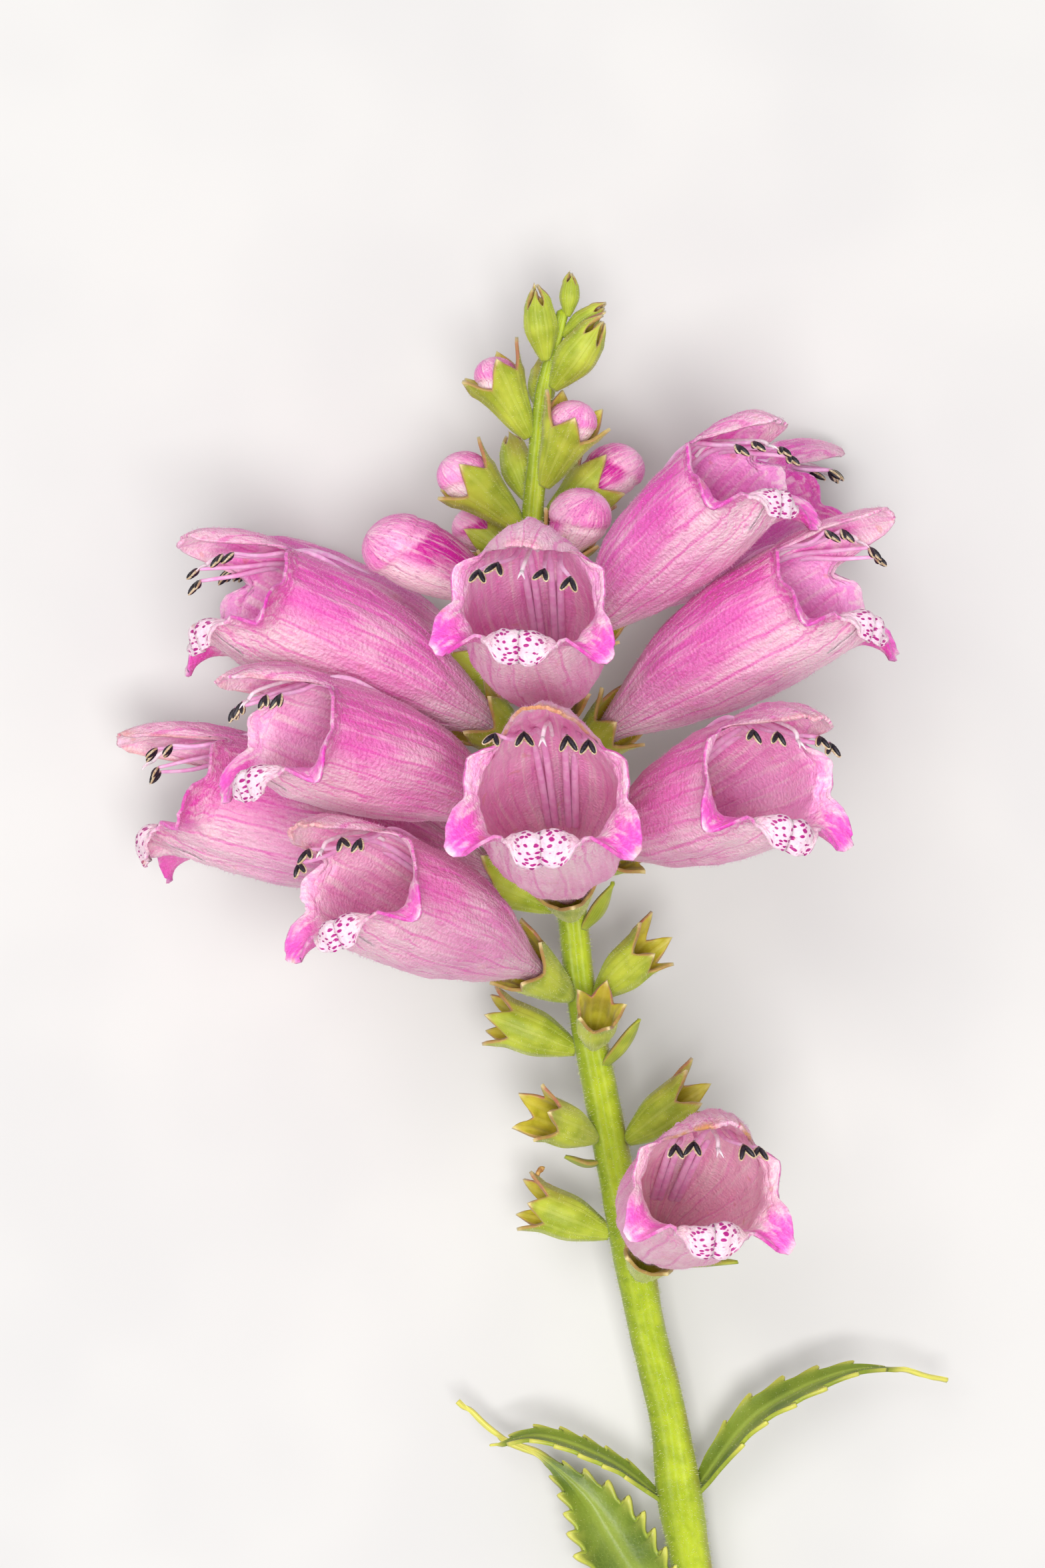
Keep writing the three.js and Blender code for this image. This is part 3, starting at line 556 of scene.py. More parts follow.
leaves = {
    "right": {"rib": [(14.6, -59.9, 6.6), (19.6, -53.4, 8.0), (26.4, -49.8, 8.4), (31.4, -49.4, 7.4),
                      (36.2, -50.6, 5.8)],
              "half": 1.65, "face": (-0.25, 0.75, 0.6), "teeth": 9, "slim": (0.35, 0.85)},
    "left": {"rib": [(12.0, -60.6, 6.9), (7.2, -57.0, 8.6), (1.6, -55.0, 8.6), (-2.8, -56.0, 7.4)],
             "half": 1.15, "face": (0.2, 0.85, 0.5), "teeth": 8, "slim": (0.8, 1)},
    "left_low": {"rib": [(15.6, -77.2, 4.2), (11.4, -70.2, 6.0), (8.0, -64.7, 6.6), (5.2, -60.4, 6.3),
                         (1.4, -57.1, 5.6), (-2.6, -55.2, 5.2), (-5.4, -52.4, 5.4)],
                 "half": 2.9, "face": (-0.1, 0.35, 0.93), "teeth": 19, "slim": (0.44, 0.78)},
    "right_low": {"rib": [(19.0, -80.2, 3.8), (26.0, -80.6, 5.4), (33.0, -84.4, 5.2), (39.6, -89.4, 3.0)],
                  "half": 3.0, "face": (0.15, 0.35, 0.92), "teeth": 16, "slim": (0.4, 0.88)},
}
bracts = {
    "low": {"foot": -39.6, "heading": 334, "rise": -3, "length": 7.6},
    "left": {"foot": -31.4, "heading": 195, "rise": 0, "length": 2.6},
    "mid": {"foot": -22.8, "heading": 320, "rise": 42, "length": 4.6},
    "high": {"foot": -11.4, "heading": 322, "rise": 46, "length": 4.2},
}
bractLook = {"across": 10, "along": 26, "half": 0.9, "wall": 0.3,
             "rib": [(-0.12, -0.2), (0.35, -0.3), (1, 0.4)]}  # along, as a share of the length, and high
# hook is how far a tooth points ahead, bite how much it stands out, rise how much the edges turn up
bladeLook = {"across": 16, "alongPerTooth": 12, "wall": 0.35, "hook": 0.75, "bite": 0.3, "rise": 0.3,
             "wave": 0.18, "midrib": 0.12, "tipHalf": 0.12, "bractTipHalf": 0.04, "hairs": {
                 "perSquareMm": 3, "halfWidth": 0.012, "length": 0.18, "lean": 0.4}}


def evenShares(points):
    # turns a share of a path's length into its place on the path
    steps = 80
    stops = [k / steps for k in range(steps + 1)]
    spots = [pathPoint(points, stop) for stop in stops]
    far = [0]
    for k in range(steps):
        far.append(far[-1] + (spots[k + 1] - spots[k]).length)
    return smoothCurve(*[(length / far[-1], stop) for length, stop in zip(far, stops)])


def bladeShape(rib, half, face, teeth, slim=(1, 2)):
    # a blade that looks towards face; slim is where along it a long thin tip begins and is reached
    place = evenShares(rib)
    tipHalf = bladeLook["tipHalf"] if slim[1] < 1 else bladeLook["bractTipHalf"]

    def shape(x, y):
        share = (y + 1) / 2
        t = place(share)
        ahead = pathAhead(rib, t)
        side = ahead.cross(face).normalized()
        up = side.cross(ahead)
        belly = math.sin(math.pi * min(1, 0.12 + 0.88 * share)) ** 0.8 * (1 - 0.9 * fade(*slim, share))
        phase = (share * teeth) % 1
        tooth = fade(0.3, 0.85, phase) * (1 - fade(0.88, 1, phase)) * fade(0.08, 0.2, share) * bool(teeth)
        tooth *= 1 - fade(slim[1] * 0.85, slim[1] * 0.95, share)
        bite = bladeLook["bite"] * (tooth - 0.3) * abs(x) ** 3 if teeth else 0
        reach = max(tipHalf, half * belly) * (1 + bite)
        point = pathPoint(rib, min(t, 0.9999)) + side * reach * x
        point += ahead * bladeLook["hook"] * tooth * abs(x) ** 6
        wave = bladeLook["wave"] * half * noise.noise(point * 0.35) * x
        point += up * (reach * bladeLook["rise"] * x * x + wave)
        point -= up * bladeLook["midrib"] * half * belly * math.exp(-(x * 7) ** 2)
        edge = fade(0.86, 1, abs(x)) * 0.7 * belly
        return point, (edge, max(fade(slim[1] * 0.9, slim[1], share), 0.8 * tooth * abs(x) ** 8))

    return shape


def makeLeaf(name, spec):
    rib = [Vector(point) for point in spec["rib"]]
    face = Vector(spec["face"]).normalized()
    bm = bmesh.new()
    along = spec["teeth"] * bladeLook["alongPerTooth"]
    shape = bladeShape(rib, spec["half"], face, spec["teeth"], spec["slim"])
    mapGrid(bm, bladeLook["across"], along, shape, ("flushAndShade", "tip"))
    faceTo(bm, face)
    fuzz = bm.copy()
    makePiece(bm, "blade_" + name, [leafUpper, leafUnder], ["leaf_" + name], bladeLook["wall"])
    addFuzz("green_fuzz", fuzz, bladeLook["hairs"], len(name))


def makeBracts():
    for name, spec in bracts.items():
        axes, foot = footOf(spec)
        rib = [placed(axes, foot, spec["length"] * t, high, 0) for t, high in bractLook["rib"]]
        shape = bladeShape(rib, bractLook["half"], axes[1], 0)
        bm = bmesh.new()
        mapGrid(bm, bractLook["across"], bractLook["along"], shape, ("flushAndShade", "tip"))
        faceTo(bm, axes[1])
        makePiece(bm, "bract_" + name, [calyxOuter], (), bractLook["wall"])


# Calyces: bells with five pointed teeth

calyxLook = {"around": 60, "along": 28, "wall": 0.28, "slant": 0.45, "uneven": 1.2, "toothTurn": 72,
             "firstValley": 54, "hairs": {
                 "perSquareMm": 6, "halfWidth": 0.015, "length": 0.22, "lean": 0.4}}
# how far ahead the valleys and the tips of the teeth are, and how far from the middle
openRim = {"valley": 6.0, "valleyHalf": 2.4, "tip": 7.9, "tipHalf": 2.95}
emptyRim = {"valley": 6.0, "valleyHalf": 2.0, "tip": 7.9, "tipHalf": 2.45}
budRim = {"valley": 5.6, "valleyHalf": 2.6, "tip": 7.6, "tipHalf": 3.2}
shutRim = {"valley": 6.6, "valleyHalf": 1.55, "tip": 8.6, "tipHalf": 0.55}


def calyxShape(axes, foot, size, rim, seed):
    halfAt = smoothCurve((0, 0.55), (1.3, 1.15), (4.0, 1.95), (rim["valley"], rim["valleyHalf"]))
    curl = -0.1 if rim is shutRim else 0.3  # how much the tips of the teeth turn in or out

    def shape(x, y):
        turn = math.pi * x
        t = (y + 1) / 2
        fifths = ((math.degrees(turn) - calyxLook["firstValley"]) / calyxLook["toothTurn"]) % 1
        toTooth = 1 - 2 * min(fifths, 1 - fifths)  # 1 in the middle of a tooth, 0 in a valley
        wobble = 0.5 * noise.noise(Vector((math.cos(turn) * 1.4, math.sin(turn) * 1.4, seed)))
        slant = calyxLook["slant"] * math.cos(turn)  # the side towards the tip of the stem is longer
        length = rim["tip"] - rim["valley"] + calyxLook["uneven"] * wobble
        edge = rim["valley"] + slant + length * toTooth ** 1.25
        ahead = edge * t
        inTooth = max(0, ahead - rim["valley"] - slant) / length
        half = halfAt(min(ahead, rim["valley"])) + (rim["tipHalf"] - rim["valleyHalf"]) * inTooth
        half += 0.08 * (math.cos(10 * turn) * 0.6 + wobble) * fade(0, 3, ahead) + curl * inTooth ** 3
        point = placed(axes, foot, ahead * size, half * size * math.cos(turn), half * size * math.sin(turn))
        back = fade(0.3, 0.95, math.cos(turn)) * fade(2.5, 6.5, ahead)
        margin = fade(0.955, 1, t) * 0.75
        return point, (min(1, margin + 0.4 * back), 0.75 * fade(0.75, 1, inTooth))

    return shape


def makeCalyx(name, node, spec, rim, seed):
    axes, foot = footOf(spec)
    bm = bmesh.new()
    shape = calyxShape(axes, foot, spec["size"], rim, seed)
    mapGrid(bm, calyxLook["around"], calyxLook["along"], shape, ("flushAndShade", "tip"))
    faceOut(bm)
    fuzz = bm.copy()
    makePiece(bm, name, [calyxOuter, calyxInner], [node], calyxLook["wall"])
    addFuzz("green_fuzz", fuzz, calyxLook["hairs"], seed)


# Open flowers

openFlowers = {
    "a": {"foot": 1.7, "heading": 204, "rise": 24.5, "roll": -20, "size": 0.965, "turn": 0, "droop": 0.7},
    "b": {"foot": -4.5, "heading": 219, "rise": 15, "roll": -8, "size": 0.94, "turn": 0, "droop": 0.6},
    "c": {"foot": -17.7, "heading": 232, "rise": 17.4, "roll": -19, "size": 0.95, "turn": -6, "droop": 0.55},
    "d": {"foot": -10.3, "heading": 182, "rise": 15, "roll": -22, "size": 1.06, "turn": 0, "droop": 0.55},
    "f1": {"foot": 3.4, "heading": 264.8, "rise": 19, "roll": 3, "size": 1.0, "turn": 6, "droop": 0.9},
    "f2": {"foot": -11.0, "heading": 266, "rise": 17.5, "roll": 1, "size": 1.06, "turn": -2, "droop": 0.4},
    "g": {"foot": -41.2, "heading": 279.5, "rise": 18, "roll": 5, "size": 0.97, "turn": 0, "droop": 0.55},
    "r1": {"foot": 8.6, "heading": 313, "rise": 33, "roll": 8, "size": 0.87, "turn": 0, "droop": 0.9},
    "r2": {"foot": 1.1, "heading": 325, "rise": 26.8, "roll": 14, "size": 0.96, "turn": 0, "droop": 0.4},
    "r3": {"foot": -7.4, "heading": 299, "rise": 13, "roll": 8, "size": 0.98, "turn": 11, "droop": 0.5},
    "a_back": {"foot": 7.0, "heading": 158.2, "rise": 17, "roll": 0, "size": 0.86, "turn": -12, "droop": 0.7},
    "r1_back": {"foot": 11.3, "heading": 27.0, "rise": 26, "roll": 1, "size": 0.86, "turn": 0, "droop": 0.7},
}
# how faded each flower is, lower ones more, and how browned the edge of its hood
bloomAge = {"a": (0.1, 0.1), "b": (0.35, 0.3), "c": (0.55, 0.4), "d": (0.5, 0.4), "f1": (0.3, 0.2),
            "f2": (0.4, 0.9), "g": (0.9, 1.0), "r1": (0.0, 0.1), "r2": (0.1, 0.1), "r3": (0.35, 0.3),
            "a_back": (0.2, 0.1), "r1_back": (0.0, 0.1)}
bloomLook = {"around": 120, "tubeRows": 26, "limbRows": 30, "wall": 0.26, "calyxLift": 11, "calyxLength": 6.5,
             "tubeFrom": -3.3, "throatAt": 21.5, "hairs": {
                 "perSquareMm": 4.5, "halfWidth": 0.016, "length": 0.25, "lean": 0.4}}
tubeHalf = smoothCurve((-3.3, 0.55), (0, 1.5), (3, 2.6), (8, 4.2), (13, 5.2), (17, 5.6), (21.5, 5.6))
tubeMiddle = smoothCurve((0, 0), (12, 0.6), (21.5, 0.6))
tubeWidth = smoothCurve((3, 1), (9, 1.08), (15, 1.03), (21.5, 0.94))  # its width as a share of its height
tubePinch = smoothCurve((8, 0), (18, 0.28))  # how much narrower it is under the hood
# round the mouth from the middle of the hood (0) to the middle of the lip (1): how far the limb reaches past
# the throat, and how many degrees it turns outwards at its root and at its edge
limbReach = smoothCurve((0, 10), (0.13, 9.7), (0.22, 8.2), (0.27, 4.6), (0.32, 0.8), (0.42, 1.9),
                        (0.55, 1.5), (0.64, 4.0), (0.71, 4.6), (0.76, 4.3), (0.81, 4.0), (0.87, 5.6),
                        (0.92, 7.4), (0.96, 7.9), (1, 7.2))
limbRoot = smoothCurve((0, -4), (0.32, 0), (0.42, 8), (0.55, 8), (0.7, 12), (0.81, -10), (1, -10))
limbEdge = smoothCurve((0, -75), (0.27, -60), (0.32, 10), (0.42, 50), (0.55, 50), (0.66, 90), (0.75, 100),
                       (0.81, 20), (0.88, 80), (0.93, 128), (1, 128))
sideLobe = 0.73  # which way round the mouth the side lobes hang


def limbBend(place, limb, droop):
    # how far ahead and how far out a point of the limb is from the throat
    reach, root, edge = limbReach(place), limbRoot(place), limbEdge(place)
    hood, lip = 1 - fade(0.27, 0.33, place), fade(0.82, 0.86, place)
    edge *= 1 + (droop - 1) * hood
    ahead = out = 0
    steps = 10
    for k in range(steps):
        t = (k + 0.5) / steps * limb
        eased = t + (t ** 1.5 - t) * hood + (fade(0.55, 0.85, t) - t) * lip
        angle = math.radians(root + (edge - root) * eased)
        ahead += math.cos(angle) * limb / steps
        out += math.sin(angle) * limb / steps
    return reach, ahead, out


def limbHeading(place):
    # the hood and the lip move mostly down and up, the side lobes aside
    hood, lip = 1 - fade(0.27, 0.33, place), fade(0.8, 0.86, place)
    lobe = fade(0.58, 0.66, place) * (1 - lip)
    return place - 0.6 * place * hood + 0.6 * (1 - place) * lip + 0.7 * (sideLobe - place) * lobe


def corollaPoint(ahead, limb, around, droop, seed):
    # a point of the corolla in its own frame, past the throat where limb is over 0
    turn = math.pi * around
    place = abs(around)
    where = Vector((math.cos(turn) * 2.2, math.sin(turn) * 2.2, ahead * 0.16 + limb * 1.2 + seed * 7.3))
    swell = 0.3 * noise.noise(where) + 0.16 * noise.noise(where * 3.1) + 0.05 * noise.noise(where * 8)
    half = tubeHalf(ahead) + (swell + 0.05 * math.cos(14 * turn)) * fade(0, 6, ahead)
    half += (0.35 * hump(0.36, 0.13, place) - 0.15 * hump(0.14, 0.14, place)) * fade(8, 20, ahead)
    width = half * tubeWidth(ahead) * (1 - tubePinch(ahead) * max(0, math.cos(turn)))
    high, aside = tubeMiddle(ahead) + half * math.cos(turn), width * math.sin(turn)
    if limb == 0:
        return Vector((ahead, high, aside))
    reach, forward, out = limbBend(place, limb, droop)
    edgy = fade(0.3, 1, limb) * fade(0, 3, reach)
    nibble = 0.25 * noise.noise(Vector((around * 34, seed * 3.7, 0)))
    nibble += 0.15 * noise.noise(Vector((around * 90, seed, 1)))
    teeth = 0.5 * (1 - 2 * abs((place * 24) % 1 - 0.5)) - 0.25
    reach += (nibble + teeth * hump(0.71, 0.1, place) * fade(0.75, 1, limb)) * edgy
    ruffle = 0.26 * noise.noise(Vector((around * 9, limb * 1.5, seed * 2.1))) * limb
    ruffle -= 0.3 * hump(1, 0.04, place) * fade(0.4, 0.7, limb)
    out = out * reach + ruffle
    outTurn = math.copysign(math.pi * limbHeading(place), around)
    return Vector((ahead + forward * reach, high + out * math.cos(outTurn), aside + out * math.sin(outTurn)))


def bloomMasks(ahead, limb, around, age):
    # how deep and how pale the outside and the inside are, where the lip is spotted, how browned the hood's
    # edge is, how faded the whole and how hot the side lobes are
    place = abs(around)
    hood = 1 - fade(0.27, 0.33, place)
    lobe = fade(0.57, 0.65, place) * (1 - fade(0.78, 0.83, place))
    shoulder = hump(0.38, 0.16, place)
    near = fade(12, 21.5, ahead)
    deepOut = 0.12 + 0.6 * shoulder * fade(6, 20, ahead) + 0.2 * (1 - fade(0.2, 0.6, place))
    deepOut += 0.75 * lobe * fade(0.1, 0.6, limb) - 0.1 * fade(0.7, 1, place)
    paleOut = 0.85 * (1 - fade(-1, 10, ahead)) + 0.35 * fade(0.55, 0.8, place)
    paleOut += 0.7 * fade(0.6, 0.8, place) * near * (1 - lobe * fade(0.1, 0.5, limb))
    paleOut += (0.7 + 0.25 * age[1]) * hood * fade(0.3, 0.85, limb)
    pleats = hump(0.05, 0.03, place) + hump(0.12, 0.035, place) + 0.5 * hump(0.2, 0.03, place)
    deepIn = 0.1 + 0.3 * (1 - fade(0.12, 0.5, place)) * fade(4, 16, ahead)
    deepIn += 0.35 * pleats * fade(3, 12, ahead)
    deepIn += 1.0 * lobe * fade(0.1, 0.5, limb) - 0.3 * hood * limb + 0.35 * shoulder * limb
    paleIn = 0.35 * (1 - fade(2, 12, ahead)) + 0.7 * hood * hump(0.8, 0.4, limb)
    paleIn += 0.6 * fade(0.6, 0.85, place) * (1 - lobe * fade(0.1, 0.5, limb))
    paleIn += 0.9 * lobe * hump(0.71, 0.05, place) * fade(0.85, 0.98, limb)
    paleIn += 0.3 * fade(0.33, 0.38, place) * (1 - fade(0.55, 0.62, place)) * fade(0.5, 0.95, limb)
    spots = fade(0.86, 0.91, place) * fade(0.42, 0.62, limb)
    rim = hood * fade(0.86, 1, limb) * age[1]
    hot = 0.9 * lobe * fade(0.15, 0.55, limb) * (1 - 0.9 * hump(0.71, 0.06, place) * fade(0.85, 0.98, limb))
    return min(1, deepOut), min(1, paleOut), min(1, deepIn), min(1, paleIn), spots, rim, age[0], hot


maskNames = ("deepOut", "paleOut", "deepIn", "paleIn", "spots", "rim", "aged", "hot")


def bloomPlace(spec):
    # the calyx's own spec, its foot and axes, the flower's axes and the middle of the calyx's mouth
    rise, heading = spec["rise"] + bloomLook["calyxLift"], spec["heading"] + spec["turn"]
    cupped = dict(spec, rise=rise, heading=heading, size=1)
    calyxAxes, foot = footOf(cupped)
    return cupped, calyxAxes, axesFor(spec), foot + calyxAxes[0] * bloomLook["calyxLength"]


def makeBloom(name, spec, seed):
    cupped, calyxAxes, axes, mouth = bloomPlace(spec)
    size = spec["size"]
    rows = bloomLook["tubeRows"] + bloomLook["limbRows"]
    tubeShare = bloomLook["tubeRows"] / rows
    tubeLength = bloomLook["throatAt"] - bloomLook["tubeFrom"]

    def shape(x, y):
        t = (y + 1) / 2
        ahead = bloomLook["tubeFrom"] + tubeLength * min(1, t / tubeShare)
        limb = max(0, (t - tubeShare) / (1 - tubeShare))
        limb = 0 if limb < tiny else limb
        own = corollaPoint(ahead, limb, x, spec["droop"], seed)
        if t < tiny:
            own.y, own.z = 0, 0  # the foot is closed to a point
        inCalyx = min(0, ahead)
        origin = mouth + calyxAxes[0] * inCalyx * size
        point = placed(axes, origin, (own.x - inCalyx) * size, own.y * size, own.z * size)
        point.z = max(point.z, bloomLook["wall"])  # what touches the surface is pressed flat on it
        return point, bloomMasks(ahead, limb, x, bloomAge[name])

    bm = bmesh.new()
    mapGrid(bm, bloomLook["around"], rows, shape, maskNames)
    faceOut(bm)
    fuzz = bm.copy()
    skins = [petalOuter, petalInner]
    makePiece(bm, "petals_" + name, skins, ["corolla_" + name], bloomLook["wall"])
    addFuzz("petal_fuzz", fuzz, bloomLook["hairs"], seed)
    makeStamens(name, axes, mouth, spec, seed)
    makeCalyx("cup_" + name, "calyx_" + name, cupped, openRim, seed)


# places are mm ahead of the calyx's mouth; aside is from the flower's middle plane
stamenLook = {
    "antherAt": [(1.7, 27.4), (3.4, 26.6)],  # aside and ahead, for each of the two pairs
    "antherHigh": 4.7, "antherDroop": 4.4, "antherSpread": 0.3, "antherTilt": 0.35,
    "threadAt": [(5, 0.3), (15, 0.42), (20, 0.55)],  # ahead, and how far aside as a share of the anther's
    "archAt": 24.2, "archHigh": 5.4, "archAside": 0.72, "threadHalf": (0.32, 0.14),
    "lobeHalf": (0.7, 0.22, 0.3), "seamHalf": (0.06, 0.3, 0.15),  # the seam's first is what it adds
    "bristles": 5, "bristleLength": 0.2, "bristleHalf": 0.03,
}
styleLook = {"from": 19, "leaves": 21, "archAt": 23.5, "archHigh": 5.6, "neckAt": 26.8, "forkAt": 27.6,
             "endAt": 28.2, "below": 0.5, "half": 0.17, "forkHalf": (0.15, 0.03), "forkAside": 0.28}


def addAnther(bm, tip, axes, jitter, chance):
    # two black lobes that part downwards, each on a wider cream seam with a row of bristles
    lobe, seam = stamenLook["lobeHalf"], stamenLook["seamHalf"]
    tilt = chance.uniform(-stamenLook["antherTilt"], stamenLook["antherTilt"])
    for arm in (1, -1):
        down = -axes[1] * 0.82 + axes[2] * (arm * 0.44 + tilt * 0.5) + axes[0] * (0.3 + tilt * 0.4)
        long = (down + jitter * 0.4).normalized()
        wide = axes[0].cross(long).normalized()
        through = long.cross(wide)
        half = lobe[0] * chance.uniform(0.85, 1.1)
        centre = tip + long * half * 0.95
        addEgg(bm, centre, (long, wide, through), (half, lobe[1], lobe[2]), 12, 1)
        addEgg(bm, centre - through * 0.02, (long, wide, through), (half + seam[0], seam[1], seam[2]), 12, 2)
        for k in range(stamenLook["bristles"]):
            along = (k + 0.5) / stamenLook["bristles"] * 2 - 1
            base = centre + long * half * along + wide * 0.26 * arm * math.sqrt(1 - along * along * 0.9)
            end = base + (wide * arm + long * along).normalized() * stamenLook["bristleLength"]
            addTube(bm, [base, end], lambda t: stamenLook["bristleHalf"] * (1 - t), 3, 1, 2)


def makeStamens(name, axes, mouth, spec, seed):
    # four stamens whose threads run down the back of the tube, and a white style with a forked tip
    chance = random.Random(seed + 50)
    size = spec["size"]
    high = stamenLook["antherHigh"] - stamenLook["antherDroop"] * spec["droop"]
    spread = stamenLook["antherSpread"]
    thick, thin = stamenLook["threadHalf"]

    def at(ahead, high, aside):
        return placed(axes, mouth, ahead * size, high * size, aside * size)

    def back(ahead, aside):
        # just inside the back of the tube
        return at(ahead, tubeMiddle(ahead) + tubeHalf(ahead) * 0.985 - 0.55, aside)

    bm = bmesh.new()
    for aside, ahead in stamenLook["antherAt"]:
        for sign in (1, -1):
            jitter = Vector([chance.uniform(-spread, spread) for _ in range(3)])
            tip = at(ahead, high, sign * aside) + jitter
            thread = [back(far, sign * aside * share) for far, share in stamenLook["threadAt"]]
            archHigh = (high + stamenLook["archHigh"]) / 2 + 0.2 - 0.25 * aside
            arch = at(stamenLook["archAt"], archHigh, sign * aside * stamenLook["archAside"])
            addTube(bm, thread + [arch, tip], lambda t: thick + (thin - thick) * t, 8, 22, 0)
            addAnther(bm, tip, axes, jitter, chance)
    forkAt = at(styleLook["forkAt"], high + 0.1 - styleLook["below"], 0.08)
    arch = at(styleLook["archAt"], (high + styleLook["archHigh"]) / 2 + 0.8, 0)
    neck = at(styleLook["neckAt"], high + 0.7, 0)
    path = [back(styleLook["from"], 0), back(styleLook["leaves"], 0), arch, neck, forkAt]
    addTube(bm, path, lambda t: styleLook["half"], 8, 22, 3)
    thick, thin = styleLook["forkHalf"]
    for sign in (1, -1):
        end = at(styleLook["endAt"], high - 0.75 - styleLook["below"], sign * styleLook["forkAside"])
        path = [forkAt, (forkAt + end) / 2 + axes[0] * 0.1, end]
        addTube(bm, path, lambda t: thick + (thin - thick) * t, 6, 8, 3)
    closeUp(bm)
    materials = [filamentPink, antherBlack, antherCream, styleWhite]
    makePiece(bm, "stamens_" + name, materials, ["corolla_" + name])


# Calyces that have dropped their flowers

emptyCalyces = {
    "l1": {"foot": -37.8, "heading": 185, "rise": 22, "size": 1.0},
    "l2": {"foot": -29.6, "heading": 222, "rise": 20, "size": 0.95},
    "r2": {"foot": -29.8, "heading": 340, "rise": 36, "size": 1.0},
    "l3": {"foot": -22.2, "heading": 180, "rise": 22, "size": 1.0},
    "f3": {"foot": -21.8, "heading": 275, "rise": 34, "size": 0.85},
    "r4": {"foot": -17.6, "heading": 330, "rise": 40, "size": 0.95},
}

# A withered style that stayed behind at the upper edge of an empty calyx; its path is ahead and high

curlLook = {"on": "l1", "half": 0.2, "knob": 0.5,
            "path": [(5.0, 1.2), (6.0, 1.8), (6.9, 1.9), (7.5, 2.2), (7.5, 2.9), (7.2, 2.9)]}


def makeCurl():
    axes, foot = footOf(emptyCalyces[curlLook["on"]])
    path = [foot + axes[0] * ahead + axes[1] * high for ahead, high in curlLook["path"]]
    bm = bmesh.new()

    def width(t):
        return curlLook["half"] * (1 + curlLook["knob"] * fade(0.75, 0.95, t) - fade(0.97, 1, t))

    addTube(bm, path, width, 10, 30, 0)
    closeUp(bm)
    makePiece(bm, "dry_style", [styleBrown], ["empty_calyx_" + curlLook["on"]])


# Buds, lowest first: how far the pink bud stands out of its calyx (0 where it is still shut in) and its width

buds = {
    "left_large": {"foot": 13.8, "heading": 192, "rise": 30, "size": 0.8, "bud": 10.4, "width": 2.9},
    "right_purple": {"foot": 16.2, "heading": 308, "rise": 50, "size": 0.85, "bud": 5.0, "width": 2.5},
    "left_mid": {"foot": 21.0, "heading": 188, "rise": 42, "size": 0.95, "bud": 3.2, "width": 2.1},
    "left_low_back": {"foot": 17.8, "heading": 145, "rise": 36, "size": 0.7, "bud": 4.0, "width": 1.9},
    "right_back": {"foot": 21.2, "heading": 22, "rise": 38, "size": 0.9, "bud": 5.4, "width": 2.2},
    "left_back": {"foot": 23.4, "heading": 118, "rise": 58, "size": 0.75, "bud": 0, "width": 0},
    "right_mid": {"foot": 24.4, "heading": 322, "rise": 60, "size": 0.95, "bud": 2.4, "width": 2.0},
    "left_high": {"foot": 28.4, "heading": 194, "rise": 60, "size": 0.92, "bud": 2.2, "width": 1.7},
    "right_low_back": {"foot": 28.0, "heading": 54, "rise": 42, "size": 0.6, "bud": 0, "width": 0},
    "right_high": {"foot": 32.4, "heading": 328, "rise": 48, "size": 0.85, "bud": 0, "width": 0},
    "back_high": {"foot": 30.6, "heading": 90, "rise": 58, "size": 0.6, "bud": 0, "width": 0},
    "left_top": {"foot": 34.6, "heading": 236, "rise": 76, "size": 0.72, "bud": 0, "width": 0},
    "right_top": {"foot": 36.6, "heading": 350, "rise": 36, "size": 0.5, "bud": 0, "width": 0},
    "apex": {"foot": 38.2, "heading": 330, "rise": 84, "size": 0.42, "bud": 0, "width": 0},
}
budLook = {"around": 48, "along": 44, "rootAt": 3.4, "rootHalf": 0.5, "mouthHalf": 1.9, "fold": 0.1,
           "nod": 0.0875, "hairs": {"perSquareMm": 10, "halfWidth": 0.011, "length": 0.16, "lean": 0.4}}


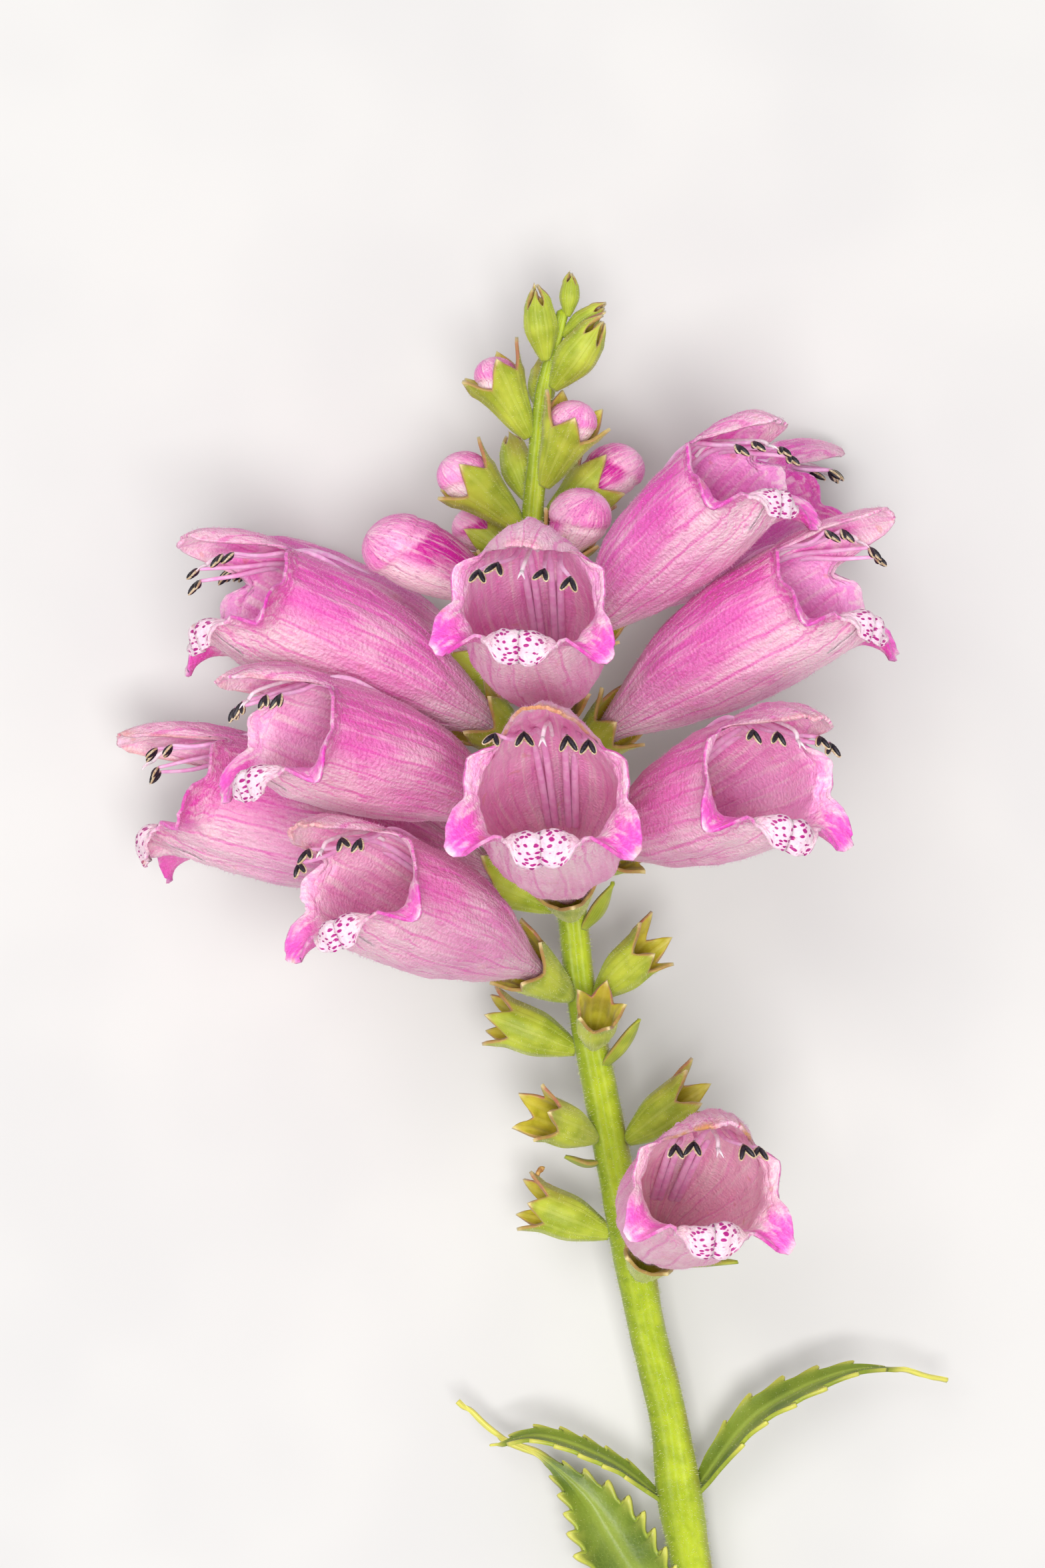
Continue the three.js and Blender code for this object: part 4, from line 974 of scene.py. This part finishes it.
def makeBud(name, spec, seed):
    # a shut flower: a pod with a round end, over which the hood's lobe wraps
    axes, foot = footOf(spec)
    wide = spec["width"]
    root = budLook["rootAt"] * spec["size"]
    mouth = budRim["valley"] * spec["size"]
    end = mouth + spec["bud"]
    domeFrom = end - wide
    halfAt = smoothCurve((root, budLook["rootHalf"]), (mouth, budLook["mouthHalf"] * spec["size"]),
                         (mouth + spec["bud"] * 0.55, wide), (mouth + spec["bud"] * 0.8, wide * 0.86),
                         (end, 0))

    def shape(x, y):
        turn = math.pi * x
        t = (y + 1) / 2
        side = math.cos(turn)
        ahead = root + (end - root) * math.sin(math.pi / 2 * t)
        dome = math.sqrt(max(0, 1 - max(0, (ahead - domeFrom) / wide) ** 2))
        half = halfAt(ahead) if ahead < domeFrom else wide * 0.97 * dome
        fold = ahead - (end - wide * (1.25 + 0.45 * side))  # the edge of the hood's lobe is a low step
        half += budLook["fold"] * (fade(-0.12, 0.12, fold) - hump(0, 0.5, fold)) * dome
        if t < tiny or t > 1 - tiny:
            half = 0  # both ends are closed to a point
        nod = -budLook["nod"] * (ahead - mouth) ** 2 / max(1, spec["bud"]) * fade(0, 1, ahead - mouth)
        isTip = fade(-0.1, 0.4, fold)
        deep = (1 - isTip) * fade(-0.5, 0.05, side) + 0.15 + 0.5 * isTip * fade(0.3, 0.9, side)
        pale = 0.35 * isTip * hump(0.1, 0.9, side) + (1 - isTip) * (1 - fade(-0.65, -0.2, side)) * 0.95
        point = placed(axes, foot, ahead, half * side + nod, half * math.sin(turn))
        return point, (deep, min(1, pale))

    bm = bmesh.new()
    mapGrid(bm, budLook["around"], budLook["along"], shape, ("deepOut", "paleOut"))
    faceOut(bm)
    fuzz = bm.copy()
    makePiece(bm, "budding_" + name, [budPetal], ["bud_" + name])
    addFuzz("petal_fuzz", fuzz, budLook["hairs"], seed)


# Everything that grows, from the cut end up; random draws follow this order

makeStem()
for bladeName, bladeSpec in leaves.items():
    makeLeaf(bladeName, bladeSpec)
makeBracts()
print("stem, leaves and bracts made")
for number, (bloomName, bloomSpec) in enumerate(openFlowers.items()):
    makeBloom(bloomName, bloomSpec, number + 1)
print("flowers made")
for number, (emptyName, emptySpec) in enumerate(emptyCalyces.items()):
    makeCalyx("dry_cup_" + emptyName, "empty_calyx_" + emptyName, emptySpec, emptyRim, number + 20)
for number, (budName, budSpec) in enumerate(buds.items()):
    rim = budRim if budSpec["bud"] else shutRim
    makeCalyx("bud_cup_" + budName, "bud_calyx_" + budName, budSpec, rim, number + 30)
    if budSpec["bud"]:
        makeBud(budName, budSpec, number + 60)
makePiece(fuzzOf["petal_fuzz"], "petal_fuzz", [petalHair])
makePiece(fuzzOf["green_fuzz"], "green_fuzz", [greenHair])
makeCurl()
print("calyces, buds and fuzz made")


# Floor, light and camera

floorLook = {"half": 2, "below": 0.0001, "light": "#d3d1ce", "dark": "#ceccca", "grainMm": 30}


def makeFloor():
    bm = bmesh.new()
    bmesh.ops.create_grid(bm, x_segments=4, y_segments=4, size=floorLook["half"])
    mesh = bpy.data.meshes.new("floor")
    bm.to_mesh(mesh)
    bm.free()
    floor = bpy.data.objects.new("floor", mesh)
    bpy.context.scene.collection.objects.link(floor)
    light, dark = floorLook["light"], floorLook["dark"]
    mesh.materials.append(plainMaterial("floor paper", light, dark, floorLook["grainMm"], {"Roughness": 0.8}))
    floor.location.z = -floorLook["below"]


# places and sizes in metres
lightLook = {
    "key": {"at": (-0.16, 0.18, 0.6), "size": 0.3, "watts": 1.45},
    "fill": {"at": (0.02, -0.07, 0.62), "size": 0.2, "watts": 2.9},
    "world": {"colour": "#f4f5f8", "strength": 0.5},
}


def makeLights():
    for name in ("key", "fill"):
        look = lightLook[name]
        data = bpy.data.lights.new(name, "AREA")
        data.energy = look["watts"]
        data.size = look["size"]
        lamp = bpy.data.objects.new(name, data)
        lamp.location = look["at"]
        lamp.rotation_euler = (-Vector(look["at"])).to_track_quat("-Z", "Y").to_euler()
        bpy.context.scene.collection.objects.link(lamp)
    world = bpy.data.worlds.new("soft room")
    world.use_nodes = True
    background = world.node_tree.nodes["Background"]
    background.inputs["Color"].default_value = fromHex(lightLook["world"]["colour"])
    background.inputs["Strength"].default_value = lightLook["world"]["strength"]
    bpy.context.scene.world = world


# straight over the point that the millimetres count from
cameraLook = {"above": 376, "lens": 100, "sensor": 36, "near": 0.01, "far": 10}


def makeCamera():
    data = bpy.data.cameras.new("camera")
    data.lens = cameraLook["lens"]
    data.sensor_width = cameraLook["sensor"]
    data.clip_start = cameraLook["near"]
    data.clip_end = cameraLook["far"]
    camera = bpy.data.objects.new("camera", data)
    camera.location = toScene(Vector((0, 0, cameraLook["above"])))
    bpy.context.scene.collection.objects.link(camera)
    bpy.context.scene.camera = camera


makeFloor()
makeLights()
makeCamera()
bpy.context.scene.view_settings.view_transform = "Standard"
print("floor, lights and camera made")
